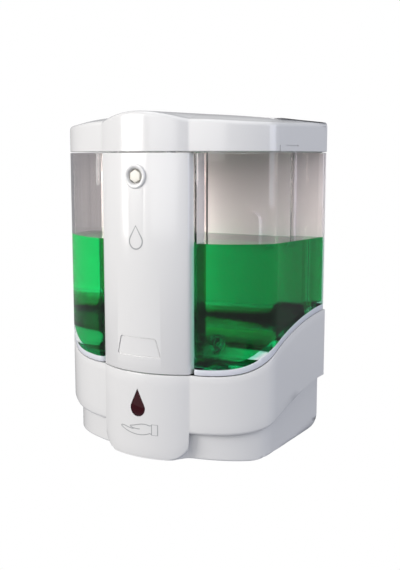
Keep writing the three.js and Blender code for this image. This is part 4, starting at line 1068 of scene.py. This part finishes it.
class DISPENSER_OT_stage(bpy.types.Operator):
    """Set the camera, the soft lights and the pale floor"""
    bl_idname = "dispenser.stage"
    bl_label = "Stage"

    def execute(self, context):
        scene = context.scene
        camera = bpy.data.objects.new("camera", bpy.data.cameras.new("camera"))
        camera.data.lens = LENS_MM
        camera.data.sensor_width = SENSOR_MM
        camera.data.clip_start = 0.01
        camera.location = CAMERA_PLACE
        camera.rotation_euler = (math.radians(90 - CAMERA_DOWN), 0, math.radians(CAMERA_ROUND))
        scene.collection.objects.link(camera)
        scene.camera = camera
        for name, place, target, size, power, tone in LAMPS:
            light = bpy.data.lights.new(name, "AREA")
            light.size = size
            light.energy = power
            light.color = linear(tone)
            lamp = bpy.data.objects.new(name, light)
            lamp.location = place
            lamp.rotation_euler = (Vector(target) - Vector(place)).to_track_quat("-Z", "Y").to_euler()
            scene.collection.objects.link(lamp)
        world = bpy.data.worlds.new("studio")
        world.use_nodes = True
        tree = world.node_tree
        tree.nodes.clear()
        tone, white = (*linear("#F2F3F8"), 1), (*colours().floor, 1)
        seen = put(tree, "ShaderNodeLightPath").outputs["Is Camera Ray"]
        studio = put(tree, "ShaderNodeBackground", {"Color": tone, "Strength": ROOM_LIGHT}).outputs[0]
        paper = put(tree, "ShaderNodeBackground", {"Color": white, "Strength": 1.0}).outputs[0]
        mix = put(tree, "ShaderNodeMixShader", {"Fac": seen, 1: studio, 2: paper}).outputs[0]
        put(tree, "ShaderNodeOutputWorld", {"Surface": mix})
        scene.world = world
        scene.view_settings.view_transform = "Standard"
        bm = bmesh.new()
        bmesh.ops.create_grid(bm, x_segments=8, y_segments=8, size=FLOOR_HALF)
        bmesh.ops.translate(bm, verts=bm.verts, vec=(0, 0, FLOOR_Z))
        floor = new_object("floor", bm)
        floor.data.materials.append(lit_floor())
        return {"FINISHED"}


OPERATORS = (
    DISPENSER_OT_stage, DISPENSER_OT_lid, DISPENSER_OT_column, DISPENSER_OT_lock,
    DISPENSER_OT_lower_cover, DISPENSER_OT_lens, DISPENSER_OT_reservoir, DISPENSER_OT_symbols,
    DISPENSER_OT_finishes,
)


class DISPENSER_PT_panel(bpy.types.Panel):
    """Lists the dispenser's builders and settings"""
    bl_idname = "DISPENSER_PT_panel"
    bl_label = "Wall Soap Dispenser"
    bl_space_type = "VIEW_3D"
    bl_region_type = "UI"
    bl_category = "Dispenser"

    def draw(self, context):
        for operator in OPERATORS:
            self.layout.operator(operator.bl_idname)
        for settings in (context.scene.dispenser_sizes, context.scene.dispenser_colours):
            box = self.layout.box()
            for name in settings.__annotations__:
                box.prop(settings, name)


CLASSES = (DispenserSizes, DispenserColours, *OPERATORS, DISPENSER_PT_panel)


def register():
    for cls in CLASSES:
        bpy.utils.register_class(cls)
    bpy.types.Scene.dispenser_sizes = bpy.props.PointerProperty(type=DispenserSizes)
    bpy.types.Scene.dispenser_colours = bpy.props.PointerProperty(type=DispenserColours)


def unregister():
    del bpy.types.Scene.dispenser_colours
    del bpy.types.Scene.dispenser_sizes
    for cls in reversed(CLASSES):
        bpy.utils.unregister_class(cls)


def main():
    register()
    for operator in OPERATORS:
        group, name = operator.bl_idname.split(".")
        getattr(getattr(bpy.ops, group), name)()


if __name__ == "__main__":
    main()
